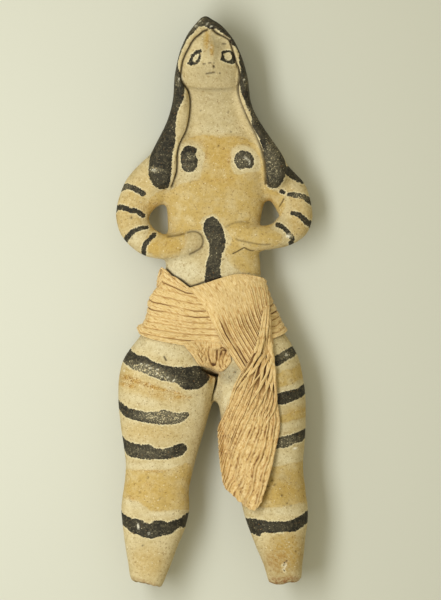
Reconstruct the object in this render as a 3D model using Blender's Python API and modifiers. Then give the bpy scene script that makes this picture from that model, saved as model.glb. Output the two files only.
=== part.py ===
# A fired clay figurine that lies on its back, with a strip of pleated linen round its hips.
# Its front faces +Z and its head points along +Y. The origin is below the middle of its box.
import math

import bpy
import bmesh
from mathutils import Vector
from mathutils.bvhtree import BVHTree

# Driving dimensions, in metres
FIGURE_LENGTH = 0.240       # crown to the end of the longer leg
CLOTH_GAP = 0.0004          # between the clay and the linen
BAND_THICKNESS = 0.0013     # linen round the hips, a few folds deep
PLEAT_DEPTH = 0.0010        # height of the knife pleats
PLEAT_SPACING = 0.0036      # from one pleat to the next
SHEET_THICKNESS = 0.0014    # linen crossed over the front and hanging down
SHEET_LIFT = 0.0018         # how far the lower right corner stands off the thigh
ROPE_RADIUS = 0.0017        # the twisted edge of the hanging end
REST_DEPTH = 0.0012         # how far the flats of the underside cut into the round clay

# The figure keeps its pose and proportions: its forms are written in 240ths of its length
UNIT = FIGURE_LENGTH / 240.0
RING_SIDES = 40
STEPS = 5
DOME_SHARES = (0.3, 0.55, 0.78, 0.93)
CLAY_CELL = 0.9 * UNIT
LINEN_CELL = 0.62 * UNIT
CLAY_TRIANGLES = 4500
LINEN_TRIANGLES = 3900

CLAY_COLOUR = (0.60, 0.49, 0.31, 1.0)
LINEN_COLOUR = (0.62, 0.47, 0.28, 1.0)

# A station of a form is a ring between two points of the outline:
# x and y of one side, x and y of the other side, back, front, squareness
TRUNK = (
    (-4.0, 114.0, -0.5, 114.0, 14.5, 20.0, 2.0),
    (-9.6, 109.0, 6.2, 109.0, 10.5, 22.6, 2.1),
    (-13.0, 102.0, 9.3, 102.0, 8.5, 24.2, 2.3),
    (-13.9, 96.3, 10.8, 96.3, 7.5, 24.6, 2.4),
    (-12.6, 91.3, 10.6, 91.3, 6.8, 23.2, 2.3),
    (-11.0, 87.0, 10.6, 87.0, 6.0, 20.2, 2.2),
    (-11.2, 78.0, 13.6, 78.0, 3.6, 18.8, 2.3),
    (-15.6, 66.0, 19.6, 66.0, 1.0, 19.6, 2.6),
    (-20.0, 54.0, 22.6, 54.0, 1.0, 20.2, 2.7),
    (-20.2, 42.0, 21.0, 42.0, 2.0, 19.4, 2.6),
    (-19.4, 28.0, 18.6, 28.0, 3.6, 19.4, 2.5),
    (-20.2, 16.0, 18.6, 16.0, 4.8, 20.6, 2.5),
    (-23.0, 5.0, 20.6, 5.0, 4.8, 21.0, 2.6),
    (-26.0, -5.0, 25.0, -5.0, 4.2, 21.4, 2.7),
    (-28.4, -14.0, 28.2, -14.0, 3.8, 21.8, 2.8),
    (-29.0, -22.0, 28.0, -22.0, 4.2, 21.0, 2.8),
)
LEG_LEFT = (
    (-25.0, -6.0, -1.5, -6.0, 6.0, 19.0, 2.1),
    (-32.0, -15.6, -0.9, -15.6, 3.6, 23.6, 2.2),
    (-38.1, -23.9, -0.3, -23.9, 0.0, 25.0, 2.2),
    (-40.2, -32.3, 0.0, -32.3, 0.7, 26.2, 2.3),
    (-40.4, -41.5, -0.5, -41.5, 1.6, 26.8, 2.3),
    (-38.9, -56.0, -4.6, -56.0, 4.6, 26.2, 2.3),
    (-37.1, -68.8, -8.3, -68.8, 6.4, 25.4, 2.3),
    (-38.4, -80.0, -10.6, -80.0, 7.2, 26.8, 2.3),
    (-39.1, -89.0, -10.4, -89.0, 8.2, 27.0, 2.3),
    (-37.4, -103.0, -15.0, -104.0, 10.6, 26.0, 2.3),
    (-35.2, -115.6, -20.6, -118.8, 12.6, 24.4, 2.5),
)
LEG_RIGHT = (
    (1.4, -6.0, 24.5, -6.0, 6.0, 19.0, 2.1),
    (1.3, -15.6, 31.2, -15.6, 3.6, 23.6, 2.2),
    (1.4, -23.9, 35.6, -23.9, 0.0, 25.0, 2.2),
    (1.3, -32.3, 37.5, -32.3, 0.7, 26.0, 2.3),
    (1.7, -41.5, 38.5, -41.5, 1.6, 26.4, 2.3),
    (3.7, -56.0, 38.5, -56.0, 4.6, 25.8, 2.3),
    (7.0, -68.8, 37.4, -68.8, 6.4, 25.2, 2.3),
    (10.4, -80.0, 38.5, -80.0, 7.2, 26.6, 2.3),
    (12.2, -89.0, 39.6, -89.0, 8.2, 26.8, 2.3),
    (17.4, -103.0, 38.0, -103.0, 10.6, 25.8, 2.3),
    (23.3, -116.6, 36.6, -115.6, 12.8, 24.2, 2.5),
)
ARM_LEFT = (
    (-23.6, 64.3, -16.1, 46.7, 3.5, 17.0, 2.2),
    (-31.2, 58.0, -20.7, 41.7, 4.0, 17.0, 2.2),
    (-38.3, 49.2, -26.4, 40.5, 5.0, 17.0, 2.2),
    (-41.5, 37.0, -27.8, 36.2, 6.2, 17.6, 2.2),
    (-39.2, 27.4, -26.2, 31.6, 7.8, 19.0, 2.2),
    (-30.8, 19.6, -23.0, 29.2, 9.6, 20.6, 2.2),
    (-20.7, 17.4, -19.4, 27.8, 12.0, 22.4, 2.3),
    (-12.0, 18.6, -12.7, 28.9, 13.6, 22.6, 2.4),
    (-7.4, 20.8, -8.2, 29.0, 14.6, 22.2, 2.5),
)
ARM_RIGHT = (
    (24.2, 63.5, 18.4, 47.5, 3.5, 17.0, 2.2),
    (32.2, 55.9, 21.7, 42.9, 4.0, 17.0, 2.2),
    (38.5, 48.8, 25.7, 41.4, 5.0, 17.0, 2.2),
    (41.5, 37.5, 27.4, 36.6, 6.2, 17.6, 2.2),
    (39.8, 29.5, 27.0, 33.7, 7.8, 19.0, 2.2),
    (33.1, 23.6, 23.4, 32.4, 9.6, 20.6, 2.2),
    (22.6, 21.3, 20.0, 31.6, 12.0, 22.2, 2.3),
    (13.3, 20.9, 12.5, 32.6, 13.6, 21.9, 2.4),
    (9.4, 21.6, 9.0, 32.0, 14.0, 21.4, 2.5),
)
HAIR_BACK = (
    (-5.0, 118.2, -2.6, 118.2, 14.5, 19.5, 2.0),
    (-9.4, 115.0, 3.4, 115.0, 11.5, 20.0, 2.0),
    (-14.2, 106.0, 10.2, 106.0, 7.5, 20.0, 2.1),
    (-16.2, 97.0, 13.2, 97.0, 5.8, 19.0, 2.2),
    (-16.8, 88.7, 14.2, 88.7, 4.4, 17.5, 2.2),
    (-17.6, 80.3, 16.0, 80.3, 2.4, 15.5, 2.3),
    (-19.4, 72.0, 19.4, 72.0, 0.2, 13.5, 2.4),
    (-20.0, 64.0, 21.0, 64.0, 0.0, 11.0, 2.4),
    (-16.0, 55.0, 17.0, 55.0, 1.2, 8.0, 2.3),
)
LAPPET_LEFT = (
    (-5.6, 119.0, -1.8, 114.0, 15.0, 21.0, 2.0),
    (-11.2, 112.6, -7.0, 109.6, 12.0, 22.4, 2.0),
    (-15.0, 103.6, -11.4, 103.0, 11.0, 22.6, 2.0),
    (-16.8, 94.0, -12.9, 94.0, 10.0, 22.4, 2.1),
    (-17.4, 84.6, -10.0, 84.6, 8.0, 21.6, 2.4),
    (-19.8, 75.7, -9.8, 75.7, 7.0, 21.4, 2.8),
    (-23.8, 67.5, -12.8, 67.5, 8.0, 22.0, 3.2),
    (-27.6, 59.3, -14.9, 59.3, 9.5, 22.2, 3.4),
    (-27.4, 52.2, -15.9, 52.2, 11.5, 21.8, 3.2),
)
LAPPET_RIGHT = (
    (-3.4, 119.0, -1.6, 114.0, 15.0, 21.0, 2.0),
    (6.0, 113.0, 3.6, 109.6, 12.0, 22.4, 2.0),
    (11.2, 104.0, 8.0, 103.0, 11.0, 22.6, 2.0),
    (14.2, 93.7, 10.6, 93.7, 10.0, 22.4, 2.1),
    (15.2, 84.6, 10.0, 84.6, 8.0, 21.6, 2.4),
    (18.3, 76.6, 12.2, 76.6, 7.0, 21.4, 2.8),
    (24.2, 68.0, 17.0, 68.0, 8.0, 22.0, 3.2),
    (29.9, 59.3, 20.2, 59.3, 9.5, 22.2, 3.4),
    (30.8, 53.0, 21.0, 53.0, 11.5, 21.8, 3.2),
)

# Round forms: middle and half sizes
BREAST_LEFT = ((-10.4, 58.6, 17.6), (9.0, 9.4, 3.6))
BREAST_RIGHT = ((12.2, 58.8, 17.6), (9.0, 9.4, 3.6))
NOSE = ((-0.9, 103.0, 23.4), (1.7, 6.0, 2.0))
KNEE_LEFT = ((-24.6, -83.0, 19.5), (9.5, 10.5, 8.2))
KNEE_RIGHT = ((26.0, -83.0, 19.4), (9.5, 10.5, 8.2))

# Outline of the band round the hips, with the strap between the thighs, seen from the front
BAND_OUTLINE = (
    (-36.0, 15.6), (-20.7, 14.8), (-16.5, 11.4), (-11.5, 7.0), (-4.0, 7.0), (6.0, 8.0), (21.0, 9.0),
    (36.0, 8.0), (36.0, -12.0), (25.0, -14.0), (9.0, -17.0), (4.6, -24.0), (3.4, -34.0), (-4.0, -34.0),
    (-6.6, -26.0), (-11.6, -18.4), (-20.7, -16.8), (-36.0, -13.2),
)
# The crossed and hanging sheet: its left edge and its right edge, row by row
SHEET_ROWS = (
    (-11.6, 5.8, 20.8, 10.0),
    (-3.9, -1.6, 22.4, 0.0),
    (0.6, -9.0, 22.8, -9.0),
    (4.6, -18.0, 22.8, -16.6),
    (9.6, -27.0, 23.4, -22.0),
    (11.2, -31.4, 24.4, -27.4),
    (6.2, -38.2, 25.6, -37.4),
    (2.0, -47.0, 27.0, -47.0),
    (1.0, -57.0, 27.6, -57.0),
    (1.6, -68.0, 25.0, -68.0),
    (3.4, -77.4, 21.6, -77.4),
    (13.4, -86.4, 18.8, -85.0),
)
SHEET_CROWN = 1.8           # how far its top edge bows up
SHEET_NECK = 0.50           # where along the sheet it is gathered
SHEET_SLANT = 0.40          # how the pleats below the neck lean across the sheet
LIFT_FROM = 0.6             # where along the sheet its right edge begins to stand off
SHEET_FLOOR = 17.0          # deeper than this, the sheet spans the gap under it
SHEET_ACROSS = 60
SHEET_ALONG = 120
SETTLING = 30
ROPE_PATH = ((18.8, 0.0), (20.4, -6.0), (21.4, -13.0), (21.4, -20.0), (18.4, -26.0), (12.6, -30.6))
PLEAT_CREST = 0.8           # where across a pleat its top is
BAND_SLANT = 0.13           # how the band's pleats sink towards the right
PLEATS_FROM = 8.0           # the band is pleated above this height and plain behind
HIGH = 60.0                 # above all of the figure
LOW = -20.0                 # below all of it


def clear_scene():
    for thing in list(bpy.data.objects):
        bpy.data.objects.remove(thing, do_unlink=True)


def new_collection(name):
    collection = bpy.data.collections.new(name)
    bpy.context.scene.collection.children.link(collection)
    return collection


def new_material(name, colour, roughness):
    material = bpy.data.materials.new(name)
    material.use_nodes = True
    shader = material.node_tree.nodes["Principled BSDF"]
    shader.inputs["Base Color"].default_value = colour
    shader.inputs["Roughness"].default_value = roughness
    shader.inputs["Metallic"].default_value = 0.0
    return material


def spline(rows, steps):
    """Rows of numbers read along a smooth curve through the given rows."""
    out = []
    last = len(rows) - 1
    for i in range(last):
        before, start, end, after = rows[max(i - 1, 0)], rows[i], rows[i + 1], rows[min(i + 2, last)]
        for k in range(steps):
            t = k / steps
            out.append(tuple(
                0.5 * (2 * b + (c - a) * t + (2 * a - 5 * b + 4 * c - d) * t ** 2
                       + (3 * b - a - 3 * c + d) * t ** 3)
                for a, b, c, d in zip(before, start, end, after)))
    out.append(tuple(rows[last]))
    return out


def as_ring(station):
    """A station as the middle, the half width, the half depth and the squareness of a ring."""
    xa, ya, xb, yb, back, front, square = station
    middle = Vector(((xa + xb) / 2, (ya + yb) / 2, (back + front) / 2))
    return middle, Vector(((xb - xa) / 2, (yb - ya) / 2, 0)), (front - back) / 2, square


def dome(ring, neighbour, reach):
    """Rings that shrink to a round end beyond the last ring of a form."""
    middle, across, deep, square = ring
    away = (middle - neighbour[0]).normalized() * reach
    turns = [share * math.pi / 2 for share in DOME_SHARES]
    return [(middle + away * math.sin(turn), across * math.cos(turn), deep * math.cos(turn), square)
            for turn in turns]


def ring_point(ring, angle):
    middle, across, deep, square = ring
    c, s = math.cos(angle), math.sin(angle)
    wide = math.copysign(abs(c) ** (2 / square), c)
    high = math.copysign(abs(s) ** (2 / square), s)
    return middle + across * wide + Vector((0, 0, deep * high))


def add_loft(bm, rings):
    """A closed skin over unlike rings."""
    loops = []
    for ring in rings:
        loops.append([bm.verts.new(ring_point(ring, 2 * math.pi * i / RING_SIDES) * UNIT)
                      for i in range(RING_SIDES)])
    faces = [bm.faces.new(loops[0]), bm.faces.new(loops[-1])]
    for low, high in zip(loops, loops[1:]):
        for i in range(RING_SIDES):
            k = (i + 1) % RING_SIDES
            faces.append(bm.faces.new((low[i], low[k], high[k], high[i])))
    bmesh.ops.recalc_face_normals(bm, faces=faces)


def add_form(bm, stations, start_dome, end_dome):
    rings = [as_ring(row) for row in spline(stations, STEPS)]
    start = list(reversed(dome(rings[0], rings[1], start_dome)))
    add_loft(bm, start + rings + dome(rings[-1], rings[-2], end_dome))


def add_mound(bm, middle, half_sizes):
    made = bmesh.ops.create_uvsphere(bm, u_segments=32, v_segments=20, radius=UNIT)
    bmesh.ops.scale(bm, vec=half_sizes, verts=made["verts"])
    bmesh.ops.translate(bm, vec=Vector(middle) * UNIT, verts=made["verts"])


def object_from(bm, name, collection):
    mesh = bpy.data.meshes.new(name)
    bm.to_mesh(mesh)
    bm.free()
    thing = bpy.data.objects.new(name, mesh)
    collection.objects.link(thing)
    return thing


def add_cutter(thing, cutters):
    thing.hide_render = True
    thing.display_type = "WIRE"
    if thing.name not in cutters.objects:
        cutters.objects.link(thing)


def add_boolean(thing, cutter, operation):
    cut = thing.modifiers.new(operation.title(), "BOOLEAN")
    cut.operation = operation
    cut.solver = "EXACT"
    cut.object = cutter


def fuse(thing, cell, smoothing):
    """One even skin over all the forms of an object, as hands would smooth wet clay."""
    skin = thing.modifiers.new("Fuse", "REMESH")
    skin.mode = "VOXEL"
    skin.voxel_size = cell
    if smoothing:
        smooth = thing.modifiers.new("Smooth", "SMOOTH")
        smooth.factor = 0.5
        smooth.iterations = smoothing


def bake(thing):
    """Puts the object's modifiers into its mesh."""
    seen = thing.evaluated_get(bpy.context.evaluated_depsgraph_get())
    mesh = bpy.data.meshes.new_from_object(seen)
    thing.modifiers.clear()
    thing.data = mesh
    return mesh


def thin_out(thing, triangles):
    """Collapses the least useful edges until about this many triangles are left."""
    corners = sum(len(face.vertices) - 2 for face in thing.data.polygons)
    fewer = thing.modifiers.new("Fewer", "DECIMATE")
    fewer.ratio = min(1.0, triangles / corners)
    fewer.use_collapse_triangulate = True
    bake(thing)


def push_out(thing, distance_at, name, collection):
    """A copy of an object with each point moved out along its normal."""
    mesh = thing.data.copy()
    normals = [vertex.normal.copy() for vertex in mesh.vertices]
    for vertex, normal in zip(mesh.vertices, normals):
        vertex.co += normal * distance_at(vertex.co)
    mesh.update()
    copy = bpy.data.objects.new(name, mesh)
    collection.objects.link(copy)
    return copy


def model_clay(parts, cutters):
    bm = bmesh.new()
    add_form(bm, TRUNK, 2.0, 6.5)
    add_form(bm, LEG_LEFT, 3.0, 1.2)
    add_form(bm, LEG_RIGHT, 3.0, 1.2)
    add_form(bm, ARM_LEFT, 3.0, 3.6)
    add_form(bm, ARM_RIGHT, 3.0, 3.2)
    add_form(bm, HAIR_BACK, 1.8, 4.0)
    add_form(bm, LAPPET_LEFT, 1.0, 5.2)
    add_form(bm, LAPPET_RIGHT, 1.0, 5.6)
    for middle, half_sizes in (BREAST_LEFT, BREAST_RIGHT, NOSE, KNEE_LEFT, KNEE_RIGHT):
        add_mound(bm, middle, half_sizes)
    clay = object_from(bm, "clay_figure", parts)
    fuse(clay, CLAY_CELL, 3)
    bake(clay)
    fine = push_out(clay, lambda place: 0.0, "clay_guide", cutters)
    add_cutter(fine, cutters)
    thin_out(clay, CLAY_TRIANGLES)

    # The underside is cut flat where the figure lies on the buttocks and the upper back
    below = bmesh.new()
    bmesh.ops.create_cube(below, size=1.0)
    bmesh.ops.scale(below, vec=Vector((2.0, 2.0, 0.5)) * FIGURE_LENGTH, verts=below.verts)
    bmesh.ops.translate(below, vec=(0, 0, REST_DEPTH - 0.25 * FIGURE_LENGTH), verts=below.verts)
    ground = object_from(below, "ground_cutter", cutters)
    add_cutter(ground, cutters)
    add_boolean(clay, ground, "DIFFERENCE")
    bake(clay)
    return clay, fine, ground


def knife_pleat(phase):
    """A pleat's profile: a slow rise and a sudden fall, between 0 and 1."""
    part = phase - math.floor(phase)
    return min(part / PLEAT_CREST, (1.0 - part) / (1.0 - PLEAT_CREST))


def band_depth(place):
    """Thickness of the linen on the hips, with its pleats in front."""
    depth = CLOTH_GAP + BAND_THICKNESS
    if place.z < PLEATS_FROM * UNIT:
        return depth
    return depth + PLEAT_DEPTH * knife_pleat((-place.y - BAND_SLANT * place.x) / PLEAT_SPACING)


def model_band(fine, cutters):
    """The layer of linen that hugs the hips: a thicker skin of the figure, cut to the band's outline."""
    band = push_out(fine, band_depth, "band_form", cutters)
    add_cutter(band, cutters)
    bm = bmesh.new()
    outline = [bm.verts.new(Vector((x, y, LOW)) * UNIT) for x, y in BAND_OUTLINE]
    flat = bm.faces.new(outline)
    walls = bmesh.ops.extrude_face_region(bm, geom=[flat])
    top = [piece for piece in walls["geom"] if isinstance(piece, bmesh.types.BMVert)]
    bmesh.ops.translate(bm, vec=Vector((0, 0, HIGH - LOW)) * UNIT, verts=top)
    bmesh.ops.recalc_face_normals(bm, faces=bm.faces)
    window = object_from(bm, "band_window", cutters)
    add_cutter(window, cutters)
    fuse(band, LINEN_CELL, 0)
    add_boolean(band, window, "INTERSECT")
    bake(band)
    return band


def drop(tree, x, y):
    """Height of what lies under a point, or nothing."""
    hit = tree.ray_cast(Vector((x, y, HIGH * UNIT)), Vector((0, 0, -1)))[0]
    return None if hit is None else hit.z


def lay_row(tree, row):
    """Heights under one row of the sheet; where nothing lies under it, it spans on."""
    floor = SHEET_FLOOR * UNIT
    under = [drop(tree, x, y) for x, y in row]
    known = [i for i, z in enumerate(under) if z is not None and z > floor]
    if not known:
        return [floor] * len(row)
    return [under[min(known, key=lambda k: abs(k - i))] for i in range(len(row))]


def model_sheet(trees, cutters):
    """The end of the linen that crosses the front and hangs over the thigh, pleated along its length."""
    rows = spline(SHEET_ROWS, STEPS * 2)
    bm = bmesh.new()
    bmesh.ops.create_grid(bm, x_segments=SHEET_ACROSS, y_segments=SHEET_ALONG, size=1.0)
    bm.verts.ensure_lookup_table()
    ordered = sorted(bm.verts, key=lambda v: (-round(v.co.y, 5), round(v.co.x, 5)))
    wide = SHEET_ACROSS + 1
    places, heights = [], []
    for j in range(SHEET_ALONG + 1):
        along = j / SHEET_ALONG * (len(rows) - 1)
        k = min(int(along), len(rows) - 2)
        xa, ya, xb, yb = (a + (b - a) * (along - k) for a, b in zip(rows[k], rows[k + 1]))
        bow = SHEET_CROWN * max(0.0, 1.0 - 5.0 * j / SHEET_ALONG)
        shares = [i / SHEET_ACROSS for i in range(wide)]
        row = [((xa + (xb - xa) * u) * UNIT, (ya + (yb - ya) * u + bow * math.sin(math.pi * u)) * UNIT)
               for u in shares]
        below = [lay_row(tree, row) for tree in trees]
        places.append(row)
        heights.append([max(column) for column in zip(*below)])
    rest = [list(row) for row in heights]
    for _ in range(SETTLING):
        old = [list(row) for row in heights]
        for j in range(1, SHEET_ALONG):
            for i in range(wide):
                near = (old[j - 1][i], old[j + 1][i], old[j][max(i - 1, 0)], old[j][min(i + 1, wide - 1)])
                heights[j][i] = max(rest[j][i], 0.5 * old[j][i] + 0.5 * sum(near) / 4)
    top_width = (SHEET_ROWS[0][2] - SHEET_ROWS[0][0]) * UNIT
    for j in range(SHEET_ALONG + 1):
        for i in range(wide):
            u, v = i / SHEET_ACROSS, j / SHEET_ALONG
            x, y = places[j][i]
            fan = u * round(top_width / PLEAT_SPACING)
            slant = (x - SHEET_SLANT * y) / PLEAT_SPACING
            corner = max(0.0, (v - LIFT_FROM) / (1 - LIFT_FROM)) * max(0.0, (u - 0.5) / 0.5)
            pleat = PLEAT_DEPTH * knife_pleat(fan if v < SHEET_NECK else slant)
            ordered[j * wide + i].co = Vector((x, y, heights[j][i] + CLOTH_GAP + pleat + SHEET_LIFT * corner))
    sheet = object_from(bm, "sheet_form", cutters)
    add_cutter(sheet, cutters)
    thick = sheet.modifiers.new("Thickness", "SOLIDIFY")
    thick.thickness = SHEET_THICKNESS
    thick.offset = 1.0 if sheet.data.polygons[0].normal.z > 0 else -1.0
    bake(sheet)
    return sheet


def model_rope(tree, cutters):
    """The twisted edge of the hanging end, where the cloth is gathered over itself."""
    path = []
    for x, y in spline(ROPE_PATH, STEPS):
        path.append(Vector((x * UNIT, y * UNIT, drop(tree, x * UNIT, y * UNIT))))
    curve = bpy.data.curves.new("rope_form", "CURVE")
    curve.dimensions = "3D"
    curve.bevel_depth = ROPE_RADIUS
    curve.bevel_resolution = 4
    curve.use_fill_caps = True
    line = curve.splines.new("POLY")
    line.points.add(len(path) - 1)
    for point, place in zip(line.points, path):
        point.co = (*place, 1.0)
    drawn = bpy.data.objects.new("rope_curve", curve)
    cutters.objects.link(drawn)
    seen = drawn.evaluated_get(bpy.context.evaluated_depsgraph_get())
    bm = bmesh.new()
    bm.from_mesh(bpy.data.meshes.new_from_object(seen))
    bmesh.ops.remove_doubles(bm, verts=bm.verts, dist=0.00001)
    bpy.data.objects.remove(drawn)
    rope = object_from(bm, "rope_form", cutters)
    add_cutter(rope, cutters)
    return rope


def tree_of(thing):
    bm = bmesh.new()
    bm.from_mesh(thing.data)
    tree = BVHTree.FromBMesh(bm)
    bm.free()
    return tree


def model_linen(clay, fine, ground, parts, cutters):
    band = model_band(fine, cutters)
    clay_tree = tree_of(push_out(fine, lambda place: CLOTH_GAP, "clay_skin", cutters))
    bpy.data.objects.remove(bpy.data.objects["clay_skin"])
    band_tree = tree_of(band)
    sheet = model_sheet((clay_tree, band_tree), cutters)
    rope = model_rope(tree_of(sheet), cutters)

    bm = bmesh.new()
    for form in (band, sheet, rope):
        bm.from_mesh(form.data)
    linen = object_from(bm, "linen_loincloth", parts)
    fuse(linen, LINEN_CELL, 1)
    bake(linen)
    thin_out(linen, LINEN_TRIANGLES)
    inside = push_out(clay, lambda place: CLOTH_GAP, "linen_hollow", cutters)
    add_cutter(inside, cutters)
    add_boolean(linen, inside, "DIFFERENCE")
    add_boolean(linen, ground, "DIFFERENCE")
    bake(linen)
    return linen


def centre_on_ground(things):
    """Moves everything so that the origin lies below the middle of the whole figure."""
    corners = [vertex.co for thing in things for vertex in thing.data.vertices]
    low = Vector([min(corner[axis] for corner in corners) for axis in range(3)])
    high = Vector([max(corner[axis] for corner in corners) for axis in range(3)])
    shift = Vector(((low.x + high.x) / 2, (low.y + high.y) / 2, low.z))
    for thing in things:
        for vertex in thing.data.vertices:
            vertex.co -= shift


def main():
    clear_scene()
    parts = new_collection("ceramic_figurine")
    cutters = new_collection("cutters")
    clay, fine, ground = model_clay(parts, cutters)
    linen = model_linen(clay, fine, ground, parts, cutters)
    clay.data.materials.append(new_material("fired_clay", CLAY_COLOUR, 0.85))
    linen.data.materials.append(new_material("pleated_linen", LINEN_COLOUR, 0.95))
    centre_on_ground((clay, linen))


main()
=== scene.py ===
import math
import random

import bpy
import bmesh
import numpy as np
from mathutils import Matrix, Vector, noise
from mathutils.bvhtree import BVHTree


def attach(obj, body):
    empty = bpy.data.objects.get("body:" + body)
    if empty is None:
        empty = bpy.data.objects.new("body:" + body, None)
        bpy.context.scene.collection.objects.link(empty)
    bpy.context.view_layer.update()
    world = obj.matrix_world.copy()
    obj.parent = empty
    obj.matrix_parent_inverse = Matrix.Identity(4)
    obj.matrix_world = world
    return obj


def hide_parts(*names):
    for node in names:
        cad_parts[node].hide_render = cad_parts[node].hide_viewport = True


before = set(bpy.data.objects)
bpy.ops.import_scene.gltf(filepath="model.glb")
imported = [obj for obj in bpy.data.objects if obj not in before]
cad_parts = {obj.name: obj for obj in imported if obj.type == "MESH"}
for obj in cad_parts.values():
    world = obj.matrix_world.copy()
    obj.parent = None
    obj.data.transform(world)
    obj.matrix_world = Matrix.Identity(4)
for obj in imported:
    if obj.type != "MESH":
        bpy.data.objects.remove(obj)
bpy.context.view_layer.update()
mm = 0.001

# Places on the figure are read off the photograph, which looks straight down on it
photo = {
    "pixel": 0.42 * mm,     # what one pixel spans on the figure
    "middleX": 214.3,       # the pixel over the origin
    "middleY": 300.5,
}


def place(px, py):
    return (px - photo["middleX"]) * photo["pixel"], (photo["middleY"] - py) * photo["pixel"]


def seenAt(spots):  # the photograph's pixel over each spot
    return np.column_stack([spots[:, 0] / photo["pixel"] + photo["middleX"],
                            photo["middleY"] - spots[:, 1] / photo["pixel"]])


def hexColour(code):  # sRGB hex to linear
    parts = [int(code[i:i + 2], 16) / 255 for i in (0, 2, 4)]
    return tuple(c / 12.92 if c <= 0.04045 else ((c + 0.055) / 1.055) ** 2.4 for c in parts) + (1.0,)


# Lines, outlines and fields

def smoothLine(points, steps=6, closed=False):  # a smooth curve through the points
    rows = np.array(points, float)
    rows = np.vstack([rows[-1:], rows, rows[:2]] if closed else [rows[:1], rows, rows[-1:]])
    t = (np.arange(steps) / steps)[:, None]
    out = []
    for a, b, c, d in zip(rows, rows[1:], rows[2:], rows[3:]):
        out.append(0.5 * (2 * b + (c - a) * t + (2 * a - 5 * b + 4 * c - d) * t ** 2
                          + (3 * b - a - 3 * c + d) * t ** 3))
    return np.vstack(out if closed else out + [rows[-1:]])


def resample(line, count):  # the same line with evenly spaced points
    run = np.concatenate([[0], np.cumsum(np.linalg.norm(np.diff(line, axis=0), axis=1))])
    at = np.linspace(0, run[-1], count)
    return np.column_stack([np.interp(at, run, line[:, k]) for k in range(line.shape[1])])


def fromLine(at, line, closed=False):  # how far each place is from a line
    ends = np.vstack([line, line[:1]]) if closed else line
    best = np.full(len(at), 1e9)
    for a, b in zip(ends, ends[1:]):
        run = b - a
        t = np.clip((at - a) @ run / max(run @ run, 1e-12), 0, 1)
        best = np.minimum(best, np.hypot(*(at - a - t[:, None] * run).T))
    return best


def isInside(at, line):
    odd = np.zeros(len(at), bool)
    for (ax, ay), (bx, by) in zip(line, np.roll(line, -1, axis=0)):
        if ay == by:
            continue
        crosses = (ay > at[:, 1]) != (by > at[:, 1])
        odd ^= crosses & (at[:, 0] < ax + (at[:, 1] - ay) * (bx - ax) / (by - ay))
    return odd


def fromEdge(at, line):  # below nought inside a closed outline
    far = fromLine(at, line, closed=True)
    return np.where(isInside(at, line), -far, far)


def softSpot(at, x, y, wide, high, turn=0.0):  # 1 in the middle of an ellipse, 0 past its edge
    c, s = math.cos(math.radians(turn)), math.sin(math.radians(turn))
    dx, dy = at[:, 0] - x, at[:, 1] - y
    return rise(1.35 - np.hypot((dx * c + dy * s) / wide, (dy * c - dx * s) / high), 0, 1)


def bump(values, middle, wide):  # 1 at the middle, fading to nought within a few widths
    return np.exp(-((values - middle) / wide) ** 2)


def rise(values, low, high):  # from 0 to 1, smoothly
    t = np.clip((values - low) / (high - low), 0, 1)
    return t * t * (3 - 2 * t)


def grain(spots, size, seed=0.0):  # smooth noise about nought, with features of that size
    shift = Vector((seed, seed * 1.7, -seed))
    return np.array([noise.noise(Vector(spot) / size + shift) for spot in spots])


# Meshes

def openMesh(mesh):
    bm = bmesh.new()
    bm.from_mesh(mesh)
    return bm


def closeMesh(bm, mesh):
    bm.to_mesh(mesh)
    bm.free()


def newPiece(name, bm):
    mesh = bpy.data.meshes.new(name)
    closeMesh(bm, mesh)
    piece = bpy.data.objects.new(name, mesh)
    bpy.context.scene.collection.objects.link(piece)
    return piece


def applyModifiers(piece):
    final = piece.evaluated_get(bpy.context.evaluated_depsgraph_get())
    mesh = bpy.data.meshes.new_from_object(final)
    piece.modifiers.clear()
    piece.data = mesh


def spotsOf(mesh, field="co"):
    flat = np.zeros(len(mesh.vertices) * 3)
    if field == "co":
        mesh.vertices.foreach_get("co", flat)
    else:
        mesh.vertex_normals.foreach_get("vector", flat)
    return flat.reshape(-1, 3)


def moveTo(mesh, spots):
    mesh.vertices.foreach_set("co", spots.ravel())
    mesh.update()


def setField(mesh, name, values):
    field = mesh.attributes.get(name) or mesh.attributes.new(name, "FLOAT", "POINT")
    field.data.foreach_set("value", np.asarray(values, np.float32))


def treeOf(mesh):
    mesh.calc_loop_triangles()
    return BVHTree.FromPolygons([v.co for v in mesh.vertices],
                                [tuple(t.vertices) for t in mesh.loop_triangles])


# Materials

def addNode(tree, kind, inputs=None, out=0, **settings):  # gives back the node's output
    node = tree.nodes.new("ShaderNode" + kind)
    for name, value in settings.items():
        setattr(node, name, value)
    for socket, value in (inputs or {}).items():
        if isinstance(value, bpy.types.NodeSocket):
            tree.links.new(value, node.inputs[socket])
        else:
            node.inputs[socket].default_value = value
    return node.outputs[out]


def newMaterial(name):
    material = bpy.data.materials.new(name)
    material.use_nodes = True
    return material, material.node_tree, material.node_tree.nodes["Principled BSDF"]


# The clay figure: hand-modelled, fired, washed with ochre and painted black

clay = {
    "cell": 1.18 * mm,          # fineness of the skin behind, halved in front and again along fine lines
    "finishing": 2,             # passes of smoothing each time that it is halved
    "slit": 1.25 * mm,          # how deep the slit beside the face is, and how proud its lip
    "lip": 0.30 * mm,
    "chin": 0.4 * mm,           # the step from the face down to the throat
    "unevenness": 0.16 * mm,    # finger marks
    "fingerMarks": 9 * mm,
    "roughness": 0.05 * mm,
    "gritSize": 1.6 * mm,
}

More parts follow.
